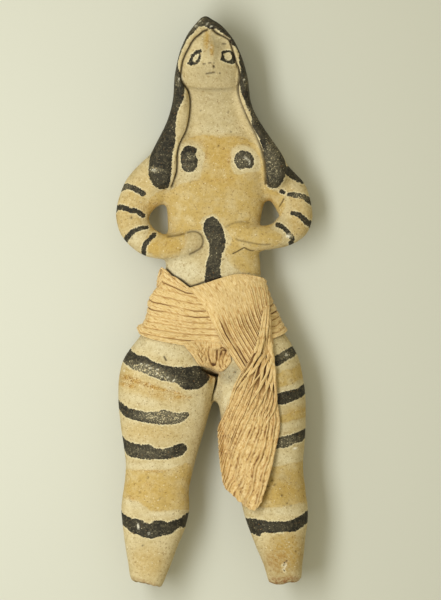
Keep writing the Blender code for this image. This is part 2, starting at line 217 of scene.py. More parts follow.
# The slit between the hair and the face, from the crown down
slits = {
    "left": [
        (207, 30.7), (203.4, 32), (199.8, 35), (195.2, 39), (192.3, 42.6), (189.4, 48), (185.6, 55),
        (183, 61.6), (181.6, 68.5), (181.2, 76.5), (182.4, 81.4), (184.8, 85.4), (188, 90), (190.4, 96),
        (191.1, 104), (190.6, 113), (189.4, 122), (187, 131), (183, 139), (179.5, 147), (177.7, 156),
        (177.4, 166), (176.5, 175), (172, 187)],
    "right": [
        (212.6, 30.7), (215.8, 33.6), (220.6, 36), (226, 38.2), (229.3, 40.4), (230.9, 44.8), (232.2, 49.6),
        (234.1, 56), (236.2, 63), (238.5, 70), (239.7, 76.5), (238.9, 81.6), (237.8, 87.6), (238.1, 94),
        (239.7, 100.6), (242.9, 110), (247.4, 119.5), (251, 127), (255.4, 136), (260, 147), (263, 157),
        (264.7, 167), (265.6, 184)],
}

# Lines cut or pressed into the clay: points, width and depth in pixels and millimetres
cuts = {
    "mouth": ([(206.6, 74.0), (210.5, 73.4), (214.6, 72.8)], 0.9, 0.3),
    "nostrilLeft": ([(203.2, 64.4), (205.2, 64.2)], 0.7, 0.3),
    "nostrilMiddle": ([(208.8, 63.4), (210.8, 63.3)], 0.7, 0.3),
    "nostrilTop": ([(214.0, 63.4), (214.5, 63.5)], 0.7, 0.25),
    "nostrilRight": ([(213.8, 66.6), (214.1, 67.4)], 1.0, 0.8),
    "nick": ([(219.8, 73.4), (220.2, 73.8)], 0.7, 0.35),
    "browNick": ([(222.8, 44.0), (225.6, 44.2)], 0.8, 0.3),
    "handTip": ([
        (188, 232.0), (193, 231.2), (198, 232.2), (201.5, 235), (203.3, 239), (203.2, 243.5), (201, 248),
        (196, 251.5), (190, 254.5)], 1.0, 0.26),
    "forearmCrease": ([(168, 236.5), (176, 235.5), (184, 233.6)], 1.1, 0.2),
    "rightWristTop": ([(226, 227), (232, 223.8), (240, 221.6), (248, 222.4)], 1.2, 0.14),
    "rightForearm": ([(237, 240.0), (244, 241.5), (251, 243.0), (262, 245.0), (270, 244.5)], 0.9, 0.2),
    "crack": ([
        (233, 253.6), (236.5, 252), (240, 250.2), (244, 248.2), (246.5, 249.6), (249.5, 250.8),
        (252.5, 251.2)], 0.55, 0.7),
    "scratch": ([(283.8, 199), (281.2, 205)], 0.7, 0.3),
    "thighNick": ([(164.4, 356.6), (166.4, 360)], 0.8, 0.5),
    # the slit between the thighs, the hollow under the cloth and the lines under its edges are cut in and
    # painted dark as shade
    "thighSlit": ([(216.4, 375), (216.2, 381), (215.2, 388), (213.6, 395), (212.4, 402)], 0.7, 3.4),
    "underCloth": ([(204, 368), (208, 370.4), (212, 372.8), (215.6, 374.8)], 1.6, 4.5),
    "underFlap": ([(165, 268), (173, 275.6), (181.6, 280.4), (189.7, 286.8)], 1.3, 0.5),
    "underHem": ([(189.7, 287), (197, 284.6), (206, 281.4), (214, 279.6), (222, 277.6)], 0.9, 0.6),
}

chin = [(182, 80), (187, 85.4), (199, 88.2), (214, 89), (228, 88), (236, 85.6), (240, 78)]

# Small pits: place and radius in pixels
pits = [(218.5, 146, 1.0), (231, 132, 0.9), (190, 183, 0.7), (131.5, 217.5, 1.3), (132, 238, 1.0),
        (236, 239, 0.7), (252, 160.5, 1.1), (223, 260, 0.7), (200.5, 111, 0.6), (228, 112, 0.7),
        (212, 181, 0.6), (268, 486, 1.1), (272, 480, 1.3), (275, 484, 1.0), (258, 481, 1.4),
        (282, 495, 1.2), (287, 503, 1.0), (265, 492, 0.9), (291, 505, 0.8), (148, 477, 1.0),
        (140, 492, 0.9), (160, 498, 0.8), (263, 508, 0.8), (143, 545, 0.9), (296, 551, 0.9),
        (235, 372, 1.0), (229, 377, 0.8), (224, 371, 0.7), (176, 214, 0.6), (205, 200, 0.6)]

# Where the skin is moved to meet the outline: place, how far, and over what radius, in pixels
pushes = [(150, 207, 3.6, 2.6, 8.0), (158, 203, 0.6, 1.6, 7.0), (276.5, 203, -1.8, 1.4, 5.0),
          (282, 209, -2.4, 1.4, 5.5), (279.6, 222, -1.6, -2.2, 5.0), (205.5, 18, 0.8, -2.2, 9.0),
          (219, 25, 0.8, -1.6, 9.0), (258, 262, 2.0, 0, 14.0)]

# The ends of the leg stumps are broken across: the line of the break, outer end first
breaks = {
    "left": [(120, 576), (130.6, 577.8), (134, 580.4), (148, 583.2), (158, 586), (162, 586.8), (170, 585)],
    "right": [
        (262, 578), (271, 582.4), (277.6, 584.8), (283, 583.2), (289, 581.8), (297, 581.4), (301.5, 577),
        (309, 570)],
}

# Black paint with an outline of its own, in pixels
paintedAreas = {
    "nippleLeft": [
        (184, 148), (188.5, 145.8), (194, 146.8), (196.8, 149), (196.6, 152.4), (195.6, 155), (197.4, 160),
        (197.6, 165.5), (194.5, 170.8), (189.5, 172.8), (184.5, 171.4), (181.5, 166), (180.6, 159),
        (181, 153)],
    "nippleRight": [
        (243.5, 150.6), (249, 152.4), (253, 156.6), (254, 162), (252.4, 167.4), (249, 169), (245.8, 168.4),
        (241, 169.8), (236.8, 166.8), (234.4, 161.4), (234.8, 156), (238.5, 152)],
    "bellyStroke": [
        (211.5, 216.8), (206.5, 219.4), (203.6, 224.6), (204, 232), (206.8, 238), (209, 243.5),
        (209.2, 250), (208, 258), (206.2, 266), (205.6, 284), (220, 284), (220.2, 266), (221.6, 260.5),
        (221.4, 254.5), (224.4, 249.5), (225.6, 243), (224.6, 235), (222.6, 228), (219, 221.6),
        (215.6, 218)],
    "thighLeft1": [
        (119, 338), (129, 347), (136, 354), (145, 356), (155, 362), (170, 366), (185, 367), (198, 365.5),
        (205, 368), (209.4, 376), (207, 382), (200, 388.5), (190, 389.4), (183, 388.4), (177.4, 383.4),
        (170, 382), (160, 379.4), (145, 373.4), (131, 368), (123, 361.4), (113, 354)],
    "thighLeft2": [
        (112, 394), (119, 400), (128, 407), (138, 410), (150, 412), (165, 410), (178, 413), (187, 411.6),
        (189, 415), (184, 420), (178, 423), (165, 424.5), (150, 423), (135, 420), (125, 416), (119, 409),
        (111, 404)],
    "thighLeft3": [
        (113, 428), (121, 434), (128, 441), (140, 444), (150, 444.5), (158, 448.6), (170, 447),
        (181, 442.8), (186.4, 445), (187, 449), (182, 455), (173, 458), (160, 459), (148, 459), (138, 458),
        (128, 455), (121, 445), (113, 440)],
    "shinLeft": [
        (113, 504), (121, 509.7), (124.4, 514), (131.2, 517.5), (136.4, 518.4), (142.4, 519.6),
        (144.8, 522.2), (151.6, 522.8), (152.7, 520.5), (163, 519.6), (167.4, 521.8), (173.4, 519.6),
        (181.1, 518), (182.9, 514.9), (192, 511), (190, 522), (183.7, 527.6), (180.6, 526.6), (170, 533.8),
        (162, 535.6), (153.6, 537.7), (146, 537.4), (142.4, 536.4), (136.4, 533), (133.8, 533.8),
        (123.5, 525.4), (113, 519)],
    "thighRight1": [
        (262, 361), (271, 357), (278, 354), (285, 350), (292, 346), (299, 340), (305, 345), (297, 353),
        (293, 357.6), (287, 360), (280, 365), (273, 367), (262, 369)],
    "thighRight2": [
        (264, 398), (276, 394), (285, 391), (295, 389), (301, 386), (311, 378), (312, 389), (304, 394.6),
        (300, 398), (292, 401), (285, 404), (277, 404.4), (264, 406)],
    "thighRight3": [
        (266, 441), (279, 437), (288, 435), (297, 432), (304, 428.5), (313, 421), (313, 432), (304, 439),
        (301, 442), (295, 443), (287, 447), (277, 448), (266, 450)],
    "shinRight": [
        (236, 517), (243, 517.6), (250, 518), (260, 519), (270, 521), (280, 521), (290, 520), (298, 516),
        (304, 513), (315, 503), (315, 517), (308, 522), (303, 526), (295, 531), (285, 531.5), (270, 532.5),
        (262, 532), (260, 536), (255, 534), (249, 531.4), (244.6, 526), (236, 522)],
    "eyeLeft": [
        (201.4, 50), (198, 50.4), (195, 51.8), (191.2, 55.8), (189.6, 59.6), (187.4, 64.2), (189.6, 65),
        (191.9, 65.8), (196.7, 65), (199.4, 62.2), (200.7, 57.4)],
    "eyeRight": [
        (221.8, 52), (226, 50.8), (230.4, 50.8), (233, 53), (234.4, 56), (235.6, 60.6), (234.8, 63.8),
        (230, 64.3), (226, 63.4), (222.8, 61), (220.4, 60), (221.6, 56)],
}
# The areas that don't run on behind, by how their names start
frontOnly = ("nipple", "belly", "eye")

# The bare clay inside the painted rings of the eyes
eyeMiddles = [
    [(199.2, 53.6), (195.9, 54.6), (193.4, 57.6), (192.2, 61.2), (194.3, 62.6), (197.2, 61.2), (198.7, 58)],
    [
        (224, 53.4), (227.7, 52.4), (230.8, 53.6), (232, 56), (231.6, 59), (230.4, 61.1), (227.7, 61.1),
        (224.7, 59.2), (223.6, 56)],
]

# The ochre wash, and what it leaves bare inside its outlines
washAreas = [
    [
        (184, 141), (190, 137.6), (198, 136), (209, 135.4), (216, 137.8), (223, 138), (232, 136.8),
        (241, 137.4), (250, 140.6), (257, 147), (262, 157), (264.5, 168), (266, 184), (275, 190),
        (284, 197), (284, 212), (270, 228), (282, 236), (276, 246), (262, 250), (263, 272), (246, 273),
        (236, 268), (229, 262), (226, 252), (232, 240), (226, 228), (216, 215), (206, 216), (200, 222),
        (202, 230), (190, 231), (185.6, 236), (184, 245), (181, 251), (176, 258), (160, 257.6),
        (150, 253.6), (144.6, 249), (147, 238), (150, 226), (145, 212), (148, 200), (160, 191), (172, 190),
        (176, 182), (180, 165), (181, 150)],
    [
        (118, 470), (134, 470.4), (152, 471), (170, 470), (190, 464), (192, 500), (190, 508), (178, 509),
        (167, 510), (153, 510.6), (146, 507), (139, 502), (132, 499), (118, 494)],
    [
        (240, 466), (270, 467), (290, 464), (312, 462), (312, 499), (300, 502), (287, 505), (269, 507),
        (254, 505.6), (240, 504)],
    [(272, 375), (284, 371), (295, 367), (308, 360), (310, 372), (300, 379), (288, 385), (274, 387)],
    [(280, 416), (292, 412), (304, 408), (314, 402), (314, 413), (302, 418), (290, 421.6), (279, 422)],
]
bareAreas = [
    [
        (177, 142), (183, 141.4), (189, 140.6), (195.4, 141.4), (201, 148.5), (206.2, 156.2), (204.4, 164),
        (202.4, 171), (198.6, 179.6), (193, 180.4), (187, 182.6), (181, 184.4), (175, 184)],
    [
        (230.6, 150), (235, 146.4), (240, 144.6), (248, 146), (255, 151), (260, 159), (261, 170),
        (255, 173), (247, 172.6), (240, 174.6), (234, 172), (230.6, 164)],
]

# Black brush marks: points, and the brush's width in pixels at both ends
brushMarks = {
    "armLeft1": ([(117, 191.5), (121, 188.6), (128, 186.4), (136, 189.4), (143, 193.6)], 5.3, 5.5),
    "armLeft2": ([(112, 213), (117, 208.4), (122, 207.4), (130, 210.2), (137, 211.2), (142.2, 215.4)],
                 5.6, 4.8),
    "armLeft3": ([(123, 244), (127, 238), (132, 232.4), (139, 228.8), (146.6, 227.4)], 6.0, 4.0),
    "armLeft4": ([(143.6, 254.6), (144.6, 246), (149, 240), (154.4, 234.6)], 5.2, 4.6),
    "armRight1": ([(288, 170.5), (293.5, 175.5), (302, 181.5)], 10.0, 4.0),
    "armRightDot": ([(281, 191.4), (284, 192.6)], 4.6, 3.0),
    "armRight2": ([(289.5, 194.6), (296, 195.2), (304, 197.4), (312, 203)], 4.6, 5.4),
    "armRight3": ([(292.4, 213.2), (298, 214.6), (304, 219.6), (312, 226)], 4.4, 7.0),
    "armRight4": ([(278, 226), (283.4, 227.8), (289, 234), (292.4, 239), (290.6, 243.6)], 4.4, 4.8),
    "stumpChip1": ([(284.6, 561.8), (286.8, 559.8)], 1.8, 1.4),
    "stumpChip2": ([(283.4, 564.4), (284.4, 563.8)], 1.6, 1.4),
    "stumpChip3": ([(283.6, 569.2), (284.2, 569.8)], 1.5, 1.4),
}
# The black hair: its edge in front, and behind as if seen through
hairEdges = {
    "front": [
        (205, 6), (190, 18), (176, 38), (168, 60), (165, 80), (163, 100), (157, 118), (148, 134),
        (142, 148), (146, 155), (149.2, 161), (148.7, 171), (150.5, 181), (156, 187.6), (163, 189.4),
        (168, 187.8), (170.4, 180), (171.6, 170), (172, 160), (173.5, 150), (175.5, 140), (175.6, 132),
        (175.9, 125), (177.2, 115), (179.2, 108.4), (183.2, 100.4), (184, 94), (184.4, 88), (182.8, 83),
        (181.2, 76), (179.4, 71), (178, 66), (178.4, 60.6), (180, 55.8), (181.6, 51), (183.6, 47),
        (185, 44), (187, 41), (188.4, 38), (192, 35), (195, 31.6), (198.6, 28), (202, 27), (205, 27.6),
        (209, 30), (214, 30.2), (218.2, 32), (223.7, 35.2), (229.3, 39), (231.4, 43.6), (233.4, 46.4),
        (236.5, 49.6), (238.9, 55.8), (238.6, 60.6), (240, 66), (240.6, 71.7), (239.8, 77), (240.2, 84),
        (241, 91.6), (243.7, 99.6), (246.9, 106.8), (250.8, 114.7), (251.6, 124.3), (255, 131), (259, 138),
        (262, 146), (264, 156), (265.8, 166), (266.4, 176), (267.6, 185.5), (273, 188.6), (279, 186.6),
        (283.5, 180), (286.4, 172), (286.3, 164), (289, 154), (286, 138), (276, 120), (268, 104), (262, 82),
        (260, 60), (252, 38), (236, 20), (220, 8)],
    "behind": [
        (140, 2), (290, 2), (292, 120), (272, 140), (264, 151), (258, 162), (248, 171), (232, 177),
        (214, 179), (196, 177), (181, 171), (171, 162), (165, 151), (156, 140), (138, 120)],
}

# Soft patches of a finish: middle, half sizes and turn, in pixels and degrees, then strength
washes = {
    "ochre": [
        (217, 141, 34, 7, 0, 0.6), (219, 158, 12, 20, 0, 0.75), (217, 182, 24, 10, 0, 0.55),
        (206.6, 40, 3.4, 11, 4, 0.9), (212, 49, 2.6, 9, 0, 0.7), (152, 178, 10, 22, 20, 0.4),
        (136, 205, 16, 34, 12, 0.55), (164, 246, 22, 10, 4, 0.7), (153, 490, 30, 14, 0, 0.5),
        (274, 490, 30, 13, 0, 0.6), (296, 410, 14, 5, -14, 0.6), (150, 561, 20, 17, 10, 0.5),
        (285, 552, 22, 26, 0, 0.9), (300, 205, 11, 28, -20, 0.5), (150, 432, 34, 9, 4, 0.4),
        (152, 390, 36, 12, 14, 0.5), (128, 376, 12, 9, 10, 0.5), (122, 215, 12, 26, 8, 0.55),
        (299, 224, 12, 24, 0, 0.6), (196, 243, 9, 11, 0, 0.3), (286, 488, 24, 16, 0, 0.3),
    ],
    "cream": [
        (182, 270, 24, 14, 10, 0.95), (192, 160, 13, 22, 6, 0.5),
        (245, 161, 14, 14, 0, 0.5), (135, 240, 8, 9, -30, 0.5), (160, 349, 34, 7, 12, 0.6),
        (140, 399, 24, 5, 14, 0.5), (228, 268, 7, 12, 0, 0.5), (196, 405, 8, 24, -8, 0.4),
        (150, 465, 30, 4, 0, 0.5), (292, 387, 16, 3.4, -20, 0.5), (288, 426, 17, 4, -14, 0.4),
        (195.6, 58, 4, 5.4, 30, 0.9), (228, 57.6, 4, 4, 0, 0.8), (230, 400, 10, 22, -14, 0.5),
        (273, 459, 28, 6, 0, 0.35), (297, 188, 8, 4, 30, 0.5), (168, 387, 12, 3, 22, 0.6),
        (134, 503, 10, 5, 20, 0.6), (286, 511, 22, 4, 0, 0.4), (160, 514, 22, 3, 0, 0.4),
        (300, 240, 7, 6, 30, 0.4), (215, 130, 24, 5, 0, 0.4),
    ],
    "streak": [
        (131, 379, 15, 3.4, 16, 1.0), (127, 385, 10, 2.6, 14, 0.8), (150, 385.6, 14, 2.4, 18, 0.9),
        (170, 391, 14, 1.8, 12, 1.0), (183, 397, 9, 1.8, 2, 1.0), (165, 396, 20, 4, 10, 0.3),
        (186, 241, 1.5, 8, 12, 0.3), (207.4, 43, 1.6, 7, 4, 0.6), (211.6, 50, 1.6, 6, -4, 0.7),
        (210.6, 41, 1.0, 5, 0, 0.4), (206, 376, 9, 5, 40, 0.8), (147, 204, 10, 3.5, -20, 0.4),
        (270, 201, 5, 3, 0, 0.6), (205.6, 159, 1.4, 12, 10, 0.45), (203, 145, 1.3, 7, -40, 0.4),
        (228.6, 158, 1.6, 8, 0, 0.5), (148, 484, 3.4, 1.8, 0, 0.6), (132, 498, 4, 2, 30, 0.6),
        (152, 470.6, 16, 1.2, 0, 0.7), (222, 180, 16, 1.6, -4, 0.3),
    ],
    # grey-brown patches of the clay; those on the forehead are painted shade under the hood
    "greyAndShade": [
        (229, 374, 11, 12, 20, 0.9), (196, 352, 6, 12, -26, 0.7), (221, 44, 7, 8, 20, 0.55),
        (216, 52, 3, 8, 0, 0.4), (218, 392, 4, 10, 0, 0.5), (214, 90, 26, 4, 0, 0.4),
        (250, 254, 14, 4, 0, 0.35), (270, 478, 12, 7, 0, 0.35), (300, 480, 8, 18, 0, 0.3),
        (178, 258, 22, 3, -8, 0.3), (195, 243, 8, 9, 0, 0.35), (212, 100, 24, 12, 0, 0.3),
        (222, 120, 16, 8, 0, 0.25), (138, 342, 8, 6, 0, 0.3), (176, 268, 12, 9, 0, 0.3),
        (286, 556, 22, 26, 0, 0.75), (290, 486, 20, 16, 0, 0.65), (262, 560, 8, 20, 20, 0.3),
        (211, 44, 9, 15, 0, 0.6), (214, 58, 8, 9, 0, 0.3), (195, 250, 10, 5, -20, 0.5),
        (165, 248, 20, 8, 4, 0.55), (212, 74, 26, 14, 0, 0.3), (214, 112, 22, 20, 0, 0.25),
    ],
    "chalk": [
        (211, 48, 0.9, 1.2, 0, 0.6), (288, 236.4, 2.6, 2.0, 0, 1.0), (285.8, 565, 1.1, 2.6, 20, 1.0),
        (283.9, 567.6, 0.8, 0.8, 0, 1.0), (141.6, 363.6, 0.8, 0.8, 0, 1.0), (147.4, 364.8, 0.8, 0.8, 0, 1.0),
        (150.6, 368, 0.8, 1.0, 0, 1.0), (157.4, 369.6, 0.9, 0.7, 0, 1.0), (156.4, 373.4, 0.9, 0.8, 0, 1.0),
        (162, 376.4, 1.1, 0.6, 10, 0.9), (168, 377.4, 1.4, 0.6, 10, 0.9), (173.8, 380.4, 0.7, 2.0, 30, 0.9),
        (124.4, 370.4, 1.2, 0.9, 0, 0.8), (150, 384, 1.6, 0.8, 0, 0.7), (176, 391.2, 2.4, 0.7, 8, 0.7),
        (154, 170.4, 3.0, 0.9, 4, 0.8), (276, 581.4, 3.4, 1.4, 0, 0.8), (298, 579.6, 2.6, 1.2, 0, 0.7),
        (206.6, 25.6, 1.4, 0.8, -50, 0.7), (199.4, 22.6, 1.4, 0.8, -30, 0.6), (196, 26.6, 1.6, 1.0, 0, 0.6),
        (211, 27.8, 1.6, 0.6, 0, 0.7), (179.2, 79.4, 0.8, 1.8, 10, 0.6), (244, 79.8, 1.0, 0.9, 0, 0.7),
        (295, 448, 3.0, 1.2, -16, 1.0), (286.4, 354.6, 1.6, 1.2, 0, 0.9), (138.4, 526, 0.9, 3.4, -12, 1.0),
        (149, 533, 0.8, 2.0, 0, 0.9), (246, 158.6, 3.6, 0.7, 40, 0.8), (249.6, 163, 0.7, 3.0, -10, 0.8),
    ],
    # rust-brown stains on the breaks and stumps; the patch in the hollow under the cloth is painted shade
    "rustAndShade": [
        (150, 584, 24, 5, 14, 0.9), (286, 580, 24, 6, 0, 0.9), (277, 560, 14, 12, 0, 0.35),
        (214, 374, 7, 5, 0, 0.7), (190, 570, 4, 6, 0, 0.3),
    ],
    "wear": [
        (148, 371, 26, 7, 16, 1.0), (164, 416, 28, 7, 3, 0.95), (172, 381, 14, 4, 14, 0.6),
        (148, 452, 30, 6, 3, 0.2), (285, 442, 16, 6, -14, 0.5), (285, 355, 8, 6, -30, 0.4),
        (196, 24, 12, 6, -40, 0.4), (156, 170, 8, 3, 8, 0.8), (189, 157, 6, 4, 0, 0.55),
        (189, 166, 7, 5, 0, 0.35), (243, 160, 9, 9, 0, 0.4), (273, 158, 9, 30, 0, 0.4),
        (300, 197, 10, 4, 10, 0.55), (290.5, 235.5, 3.4, 3.4, 0, 1.0), (250, 115, 6, 14, -30, 0.35),
        (285, 565, 4, 6, 0, 0.8), (214, 250, 9, 34, 0, 0.12), (125, 187, 8, 3, 0, 0.4),
        (178, 80, 4, 9, 0, 0.25), (246, 82, 3, 8, 0, 0.35),
    ],
}


def paintField(at, facing, hair):  # distance to the nearest black edge in millimetres, inside below nought
    best = np.full(len(at), 1e9)
    for name, points in paintedAreas.items():
        far = fromEdge(at, smoothLine(points, 4, closed=True))
        best = np.minimum(best, far + 40 * (facing < 0) * name.startswith(frontOnly))
    for points, first, last in brushMarks.values():
        line = smoothLine(points, 5)
        middle, wide = (first + last) / 4, (last - first) / 2
        ends = np.hypot(*(at - line[0]).T), np.hypot(*(at - line[-1]).T)
        share = ends[0] / np.maximum(ends[0] + ends[1], 1e-9)
        best = np.minimum(best, fromLine(at, line) - middle - wide * (share - 0.5))
    for points in eyeMiddles:
        best = np.maximum(best, -fromEdge(at, smoothLine(points, 4, closed=True)) - 0.4)
    best += 22 * np.clip(-facing - 0.45, 0, 1)  # the stripes run out behind
    behind = fromEdge(at, smoothLine(hairEdges["behind"], 5, closed=True))
    turned = np.clip((facing + 0.3) / 0.5, 0, 1)
    best = np.minimum(best, hair * turned + behind * (1 - turned))
    return np.clip(best * photo["pixel"] / mm, -4, 4)


def washField(at):  # distance to the ochre wash's edge in millimetres, inside below nought
    washed = [fromEdge(at, smoothLine(points, 3, closed=True)) for points in washAreas]
    bare = [-fromEdge(at, smoothLine(points, 3, closed=True)) for points in bareAreas]
    return np.clip(np.max([np.min(washed, axis=0), *bare], axis=0) * photo["pixel"] / mm, -4, 4)


def carve(at, facing, hair):  # how far slits, lines, pits and the face move the skin, and the painted shade in them
    front = np.clip((facing - 0.05) / 0.3, 0, 1)
    lift = np.zeros(len(at))
    shadeAndDirt = np.zeros(len(at))
    for points in slits.values():
        far = fromLine(at, smoothLine(points, 5))
        lift -= clay["slit"] * bump(far, 0, 0.85) * front
        lift += clay["lip"] * bump(far, 2.6, 1.8) * front * (hair < 3.2)
        # the slit is painted dark as shade
        shadeAndDirt = np.maximum(shadeAndDirt, bump(far, 0, 0.95) * front)
    marks = [(fromLine(at, smoothLine(points, 4)), wide, deep, min(1.0, deep * 2.6))
             for points, wide, deep in cuts.values()]
    marks += [(np.hypot(at[:, 0] - x, at[:, 1] - y), radius, 0.3 * radius, 0.8) for x, y, radius in pits]
    for far, wide, deep, shaded in marks:
        lift -= deep * mm * bump(far, 0, wide) * front
        # cuts and pits are painted dark as shade
        shadeAndDirt = np.maximum(shadeAndDirt, shaded * bump(far, 0, wide) * front)

    # the face is a plane of its own above the throat
    below = np.interp(at[:, 0], *smoothLine(chin, 6).T) - at[:, 1]
    within = np.clip((at[:, 0] - 183) / 6, 0, 1) * np.clip((238 - at[:, 0]) / 6, 0, 1)
    step = np.clip(below / 2.2 + 0.5, 0, 1) * np.clip(1 - below / 26, 0, 1)
    lift += clay["chin"] * rise(step, 0, 1) * within * front
    # painted shade under the chin
    shadeAndDirt = np.maximum(shadeAndDirt, 0.14 * bump(below, -1, 1.6) * within * front)
    return lift, shadeAndDirt


def meetOutline(at, moved):  # the stumps reach as far as their breaks, and the arms and crown meet the photo
    low = np.clip((at[:, 1] - 562) / 20, 0, 1) ** 2
    right = at[:, 0] > photo["middleX"]
    fromShin = (at[:, 0] - 148) / 15
    inner = 1.5 * rise(at[:, 1], 530, 551) + 1.3 * rise(at[:, 1], 565, 584)
    over = low * right * np.clip((at[:, 0] - 285) / 15, -1, 1) * 3.0
    over += ~right * (np.clip(fromShin, -1, 0) * 1.6 * low - np.clip(fromShin, 0, 1) * inner)
    down = low * np.where(right, 5.0, 3.4)
    for x, y, dx, dy, radius in pushes:
        near = bump(np.hypot(at[:, 0] - x, at[:, 1] - y), 0, radius)
        over += near * dx
        down += near * dy
    moved[:, 0] += over * photo["pixel"]
    moved[:, 1] -= down * photo["pixel"]


def breakOff(spots, moved, shadeAndDirt):  # the stumps end in rough breaks, a little dirty
    at = seenAt(moved)
    jag = grain(spots, 2.2 * mm, 5.7) * 1.6 + grain(spots, 0.9 * mm, 1.3) * 0.7
    for points in breaks.values():
        line = smoothLine(points, 5)
        limit = np.interp(at[:, 0], *line.T) + jag
        past = (at[:, 1] > limit) & (abs(at[:, 0] - line[:, 0].mean()) < 25)
        moved[past, 1] = (photo["middleY"] - limit[past]) * photo["pixel"]
        shadeAndDirt = np.maximum(shadeAndDirt, 0.25 * past)
    return shadeAndDirt


def makeSkin():
    bm = openMesh(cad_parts["clay_figure"].data)
    bmesh.ops.remove_doubles(bm, verts=bm.verts, dist=0.01 * mm)
    piece = newPiece("fired_clay_body", bm)
    rounded = piece.modifiers.new("Rounded", "SUBSURF")
    rounded.levels = rounded.render_levels = 2
    skin = piece.modifiers.new("Skin", "REMESH")
    skin.mode = "VOXEL"
    skin.voxel_size = clay["cell"]
    smooth = piece.modifiers.new("Smooth", "SMOOTH")
    smooth.factor = 0.5
    smooth.iterations = 1
    applyModifiers(piece)
    return piece


def refine(mesh):  # halves the cells in front and where the legs part, then again along fine lines
    bm = openMesh(mesh)
    lines = [smoothLine(points, 3) for points in slits.values()]
    lines += [smoothLine(points, 3) for points, wide, deep in cuts.values()]
    lines += [smoothLine(paintedAreas[eye], 3, closed=True) for eye in ("eyeLeft", "eyeRight")]
    for stretch in ("front", "lines"):
        bm.faces.index_update()
        at = seenAt(np.array([face.calc_center_median() for face in bm.faces]))
        chosen = np.array([face.normal.z > 0.1 for face in bm.faces])
        if stretch == "front":
            chosen |= (abs(at[:, 0] - 215) < 14) & (abs(at[:, 1] - 386) < 26)
        else:
            chosen &= np.min([fromLine(at, line) for line in lines], axis=0) < 2.4
        edges = [edge for edge in bm.edges if any(chosen[face.index] for face in edge.link_faces)]
        bmesh.ops.subdivide_edges(bm, edges=edges, cuts=1, use_grid_fill=True)
        for turn in range(clay["finishing"]):
            bmesh.ops.smooth_vert(bm, verts=bm.verts, factor=0.5, use_axis_x=True, use_axis_y=True,
                                  use_axis_z=True)
    bmesh.ops.triangulate(bm, faces=[face for face in bm.faces if len(face.verts) > 4])
    closeMesh(bm, mesh)


def makeClay():
    piece = makeSkin()
    mesh = piece.data
    refine(mesh)
    spots, normals = spotsOf(mesh), spotsOf(mesh, "normal")
    at, facing = seenAt(spots), normals[:, 2]
    hair = fromEdge(at, smoothLine(hairEdges["front"], 4, closed=True))
    lift, shadeAndDirt = carve(at, facing, hair)
    lift += grain(spots, clay["fingerMarks"], 3.1) * clay["unevenness"]
    lift += grain(spots, clay["gritSize"], 8.3) * clay["roughness"]
    moved = spots + normals * lift[:, None]
    meetOutline(at, moved)
    # the dark field: painted shade in slits, cuts, pits and under the chin, with dirt on the breaks
    fields = {"paint": paintField(at, facing, hair), "wash": washField(at),
              "shadeAndDirt": breakOff(spots, moved, shadeAndDirt)}
    for name, patches in washes.items():
        field = np.max([strength * softSpot(at, *patch) for *patch, strength in patches], axis=0)
        fields[name] = field if name in ("rustAndShade", "wear") else field * np.clip((facing + 0.4) / 0.6, 0, 1)
    for name, values in fields.items():
        setField(mesh, name, values)
    moved[:, 2] = np.maximum(moved[:, 2], 0.0)
    moveTo(mesh, moved)
    for polygon in mesh.polygons:
        polygon.use_smooth = True
    print("clay skin:", sum(polygon.loop_total - 2 for polygon in mesh.polygons), "triangles")
    return piece


# Noise patterns in the clay: size, detail and roughness of the noise
clayClouds = {
    "broad": (17 * mm, 3.0, 0.55),      # uneven firing
    "middling": (4.2 * mm, 4.0, 0.55),  # the wash, pooled by the brush
    "small": (1.3 * mm, 4.0, 0.65),     # pores and rubbed spots
    "fine": (0.55 * mm, 3.0, 0.6),      # sand, drawn coarser than real, as the next three are
    "grit": (0.8 * mm, 2.0, 0.5),       # pale grains
    "fleck": (1.1 * mm, 2.0, 0.5),      # brown grains
    "speck": (0.9 * mm, 1.0, 0.4),      # pinholes in the black
}

# Finishes from the bare clay up: the painted field or none, the cloud that breaks it up with its range
# and the least and most that it covers, and the colour
clayFinishes = [
    (None, "broad", 0.32, 0.68, 0.0, 1.0, "D4C394"),
    (None, "middling", 0.40, 0.66, 0.0, 0.6, "BAA672"),
    # grey patches, with painted shade under the hood on the forehead
    ("greyAndShade", "small", 0.20, 0.70, 0.5, 1.0, "988F72"),
    ("washed", "middling", 0.25, 0.62, 0.35, 0.9, "BE9F54"),
    ("ochre", "small", 0.25, 0.62, 0.25, 0.9, "BC9846"),
    ("tide", "small", 0.46, 0.60, 0.0, 0.5, "A8843E"),
    ("cream", "middling", 0.20, 0.65, 1.0, 0.6, "DACFA8"),
    ("streak", "middling", 0.36, 0.56, 0.1, 0.9, "BE964A"),
    ("streak", "fine", 0.48, 0.56, 0.0, 1.0, "8E6428"),
    (None, "small", 0.46, 0.66, 0.0, 0.26, "8F7440"),
    (None, "fine", 0.44, 0.60, 0.0, 0.14, "94794A"),
    (None, "fleck", 0.62, 0.68, 0.0, 0.42, "8A6A36"),
    (None, "grit", 0.66, 0.72, 0.0, 0.5, "F0E4C0"),
]
blackFinishes = [
    (None, "middling", 0.35, 0.70, 0.0, 1.0, "3A3526"),
    (None, "small", 0.48, 0.66, 0.0, 0.7, "544D38"),
    (None, "grit", 0.62, 0.68, 0.0, 0.3, "8C8464"),
    ("wear", "small", 0.30, 0.60, 0.2, 1.0, "726A52"),
    ("wear", "fine", 0.54, 0.60, 0.0, 0.8, "B5A880"),
]
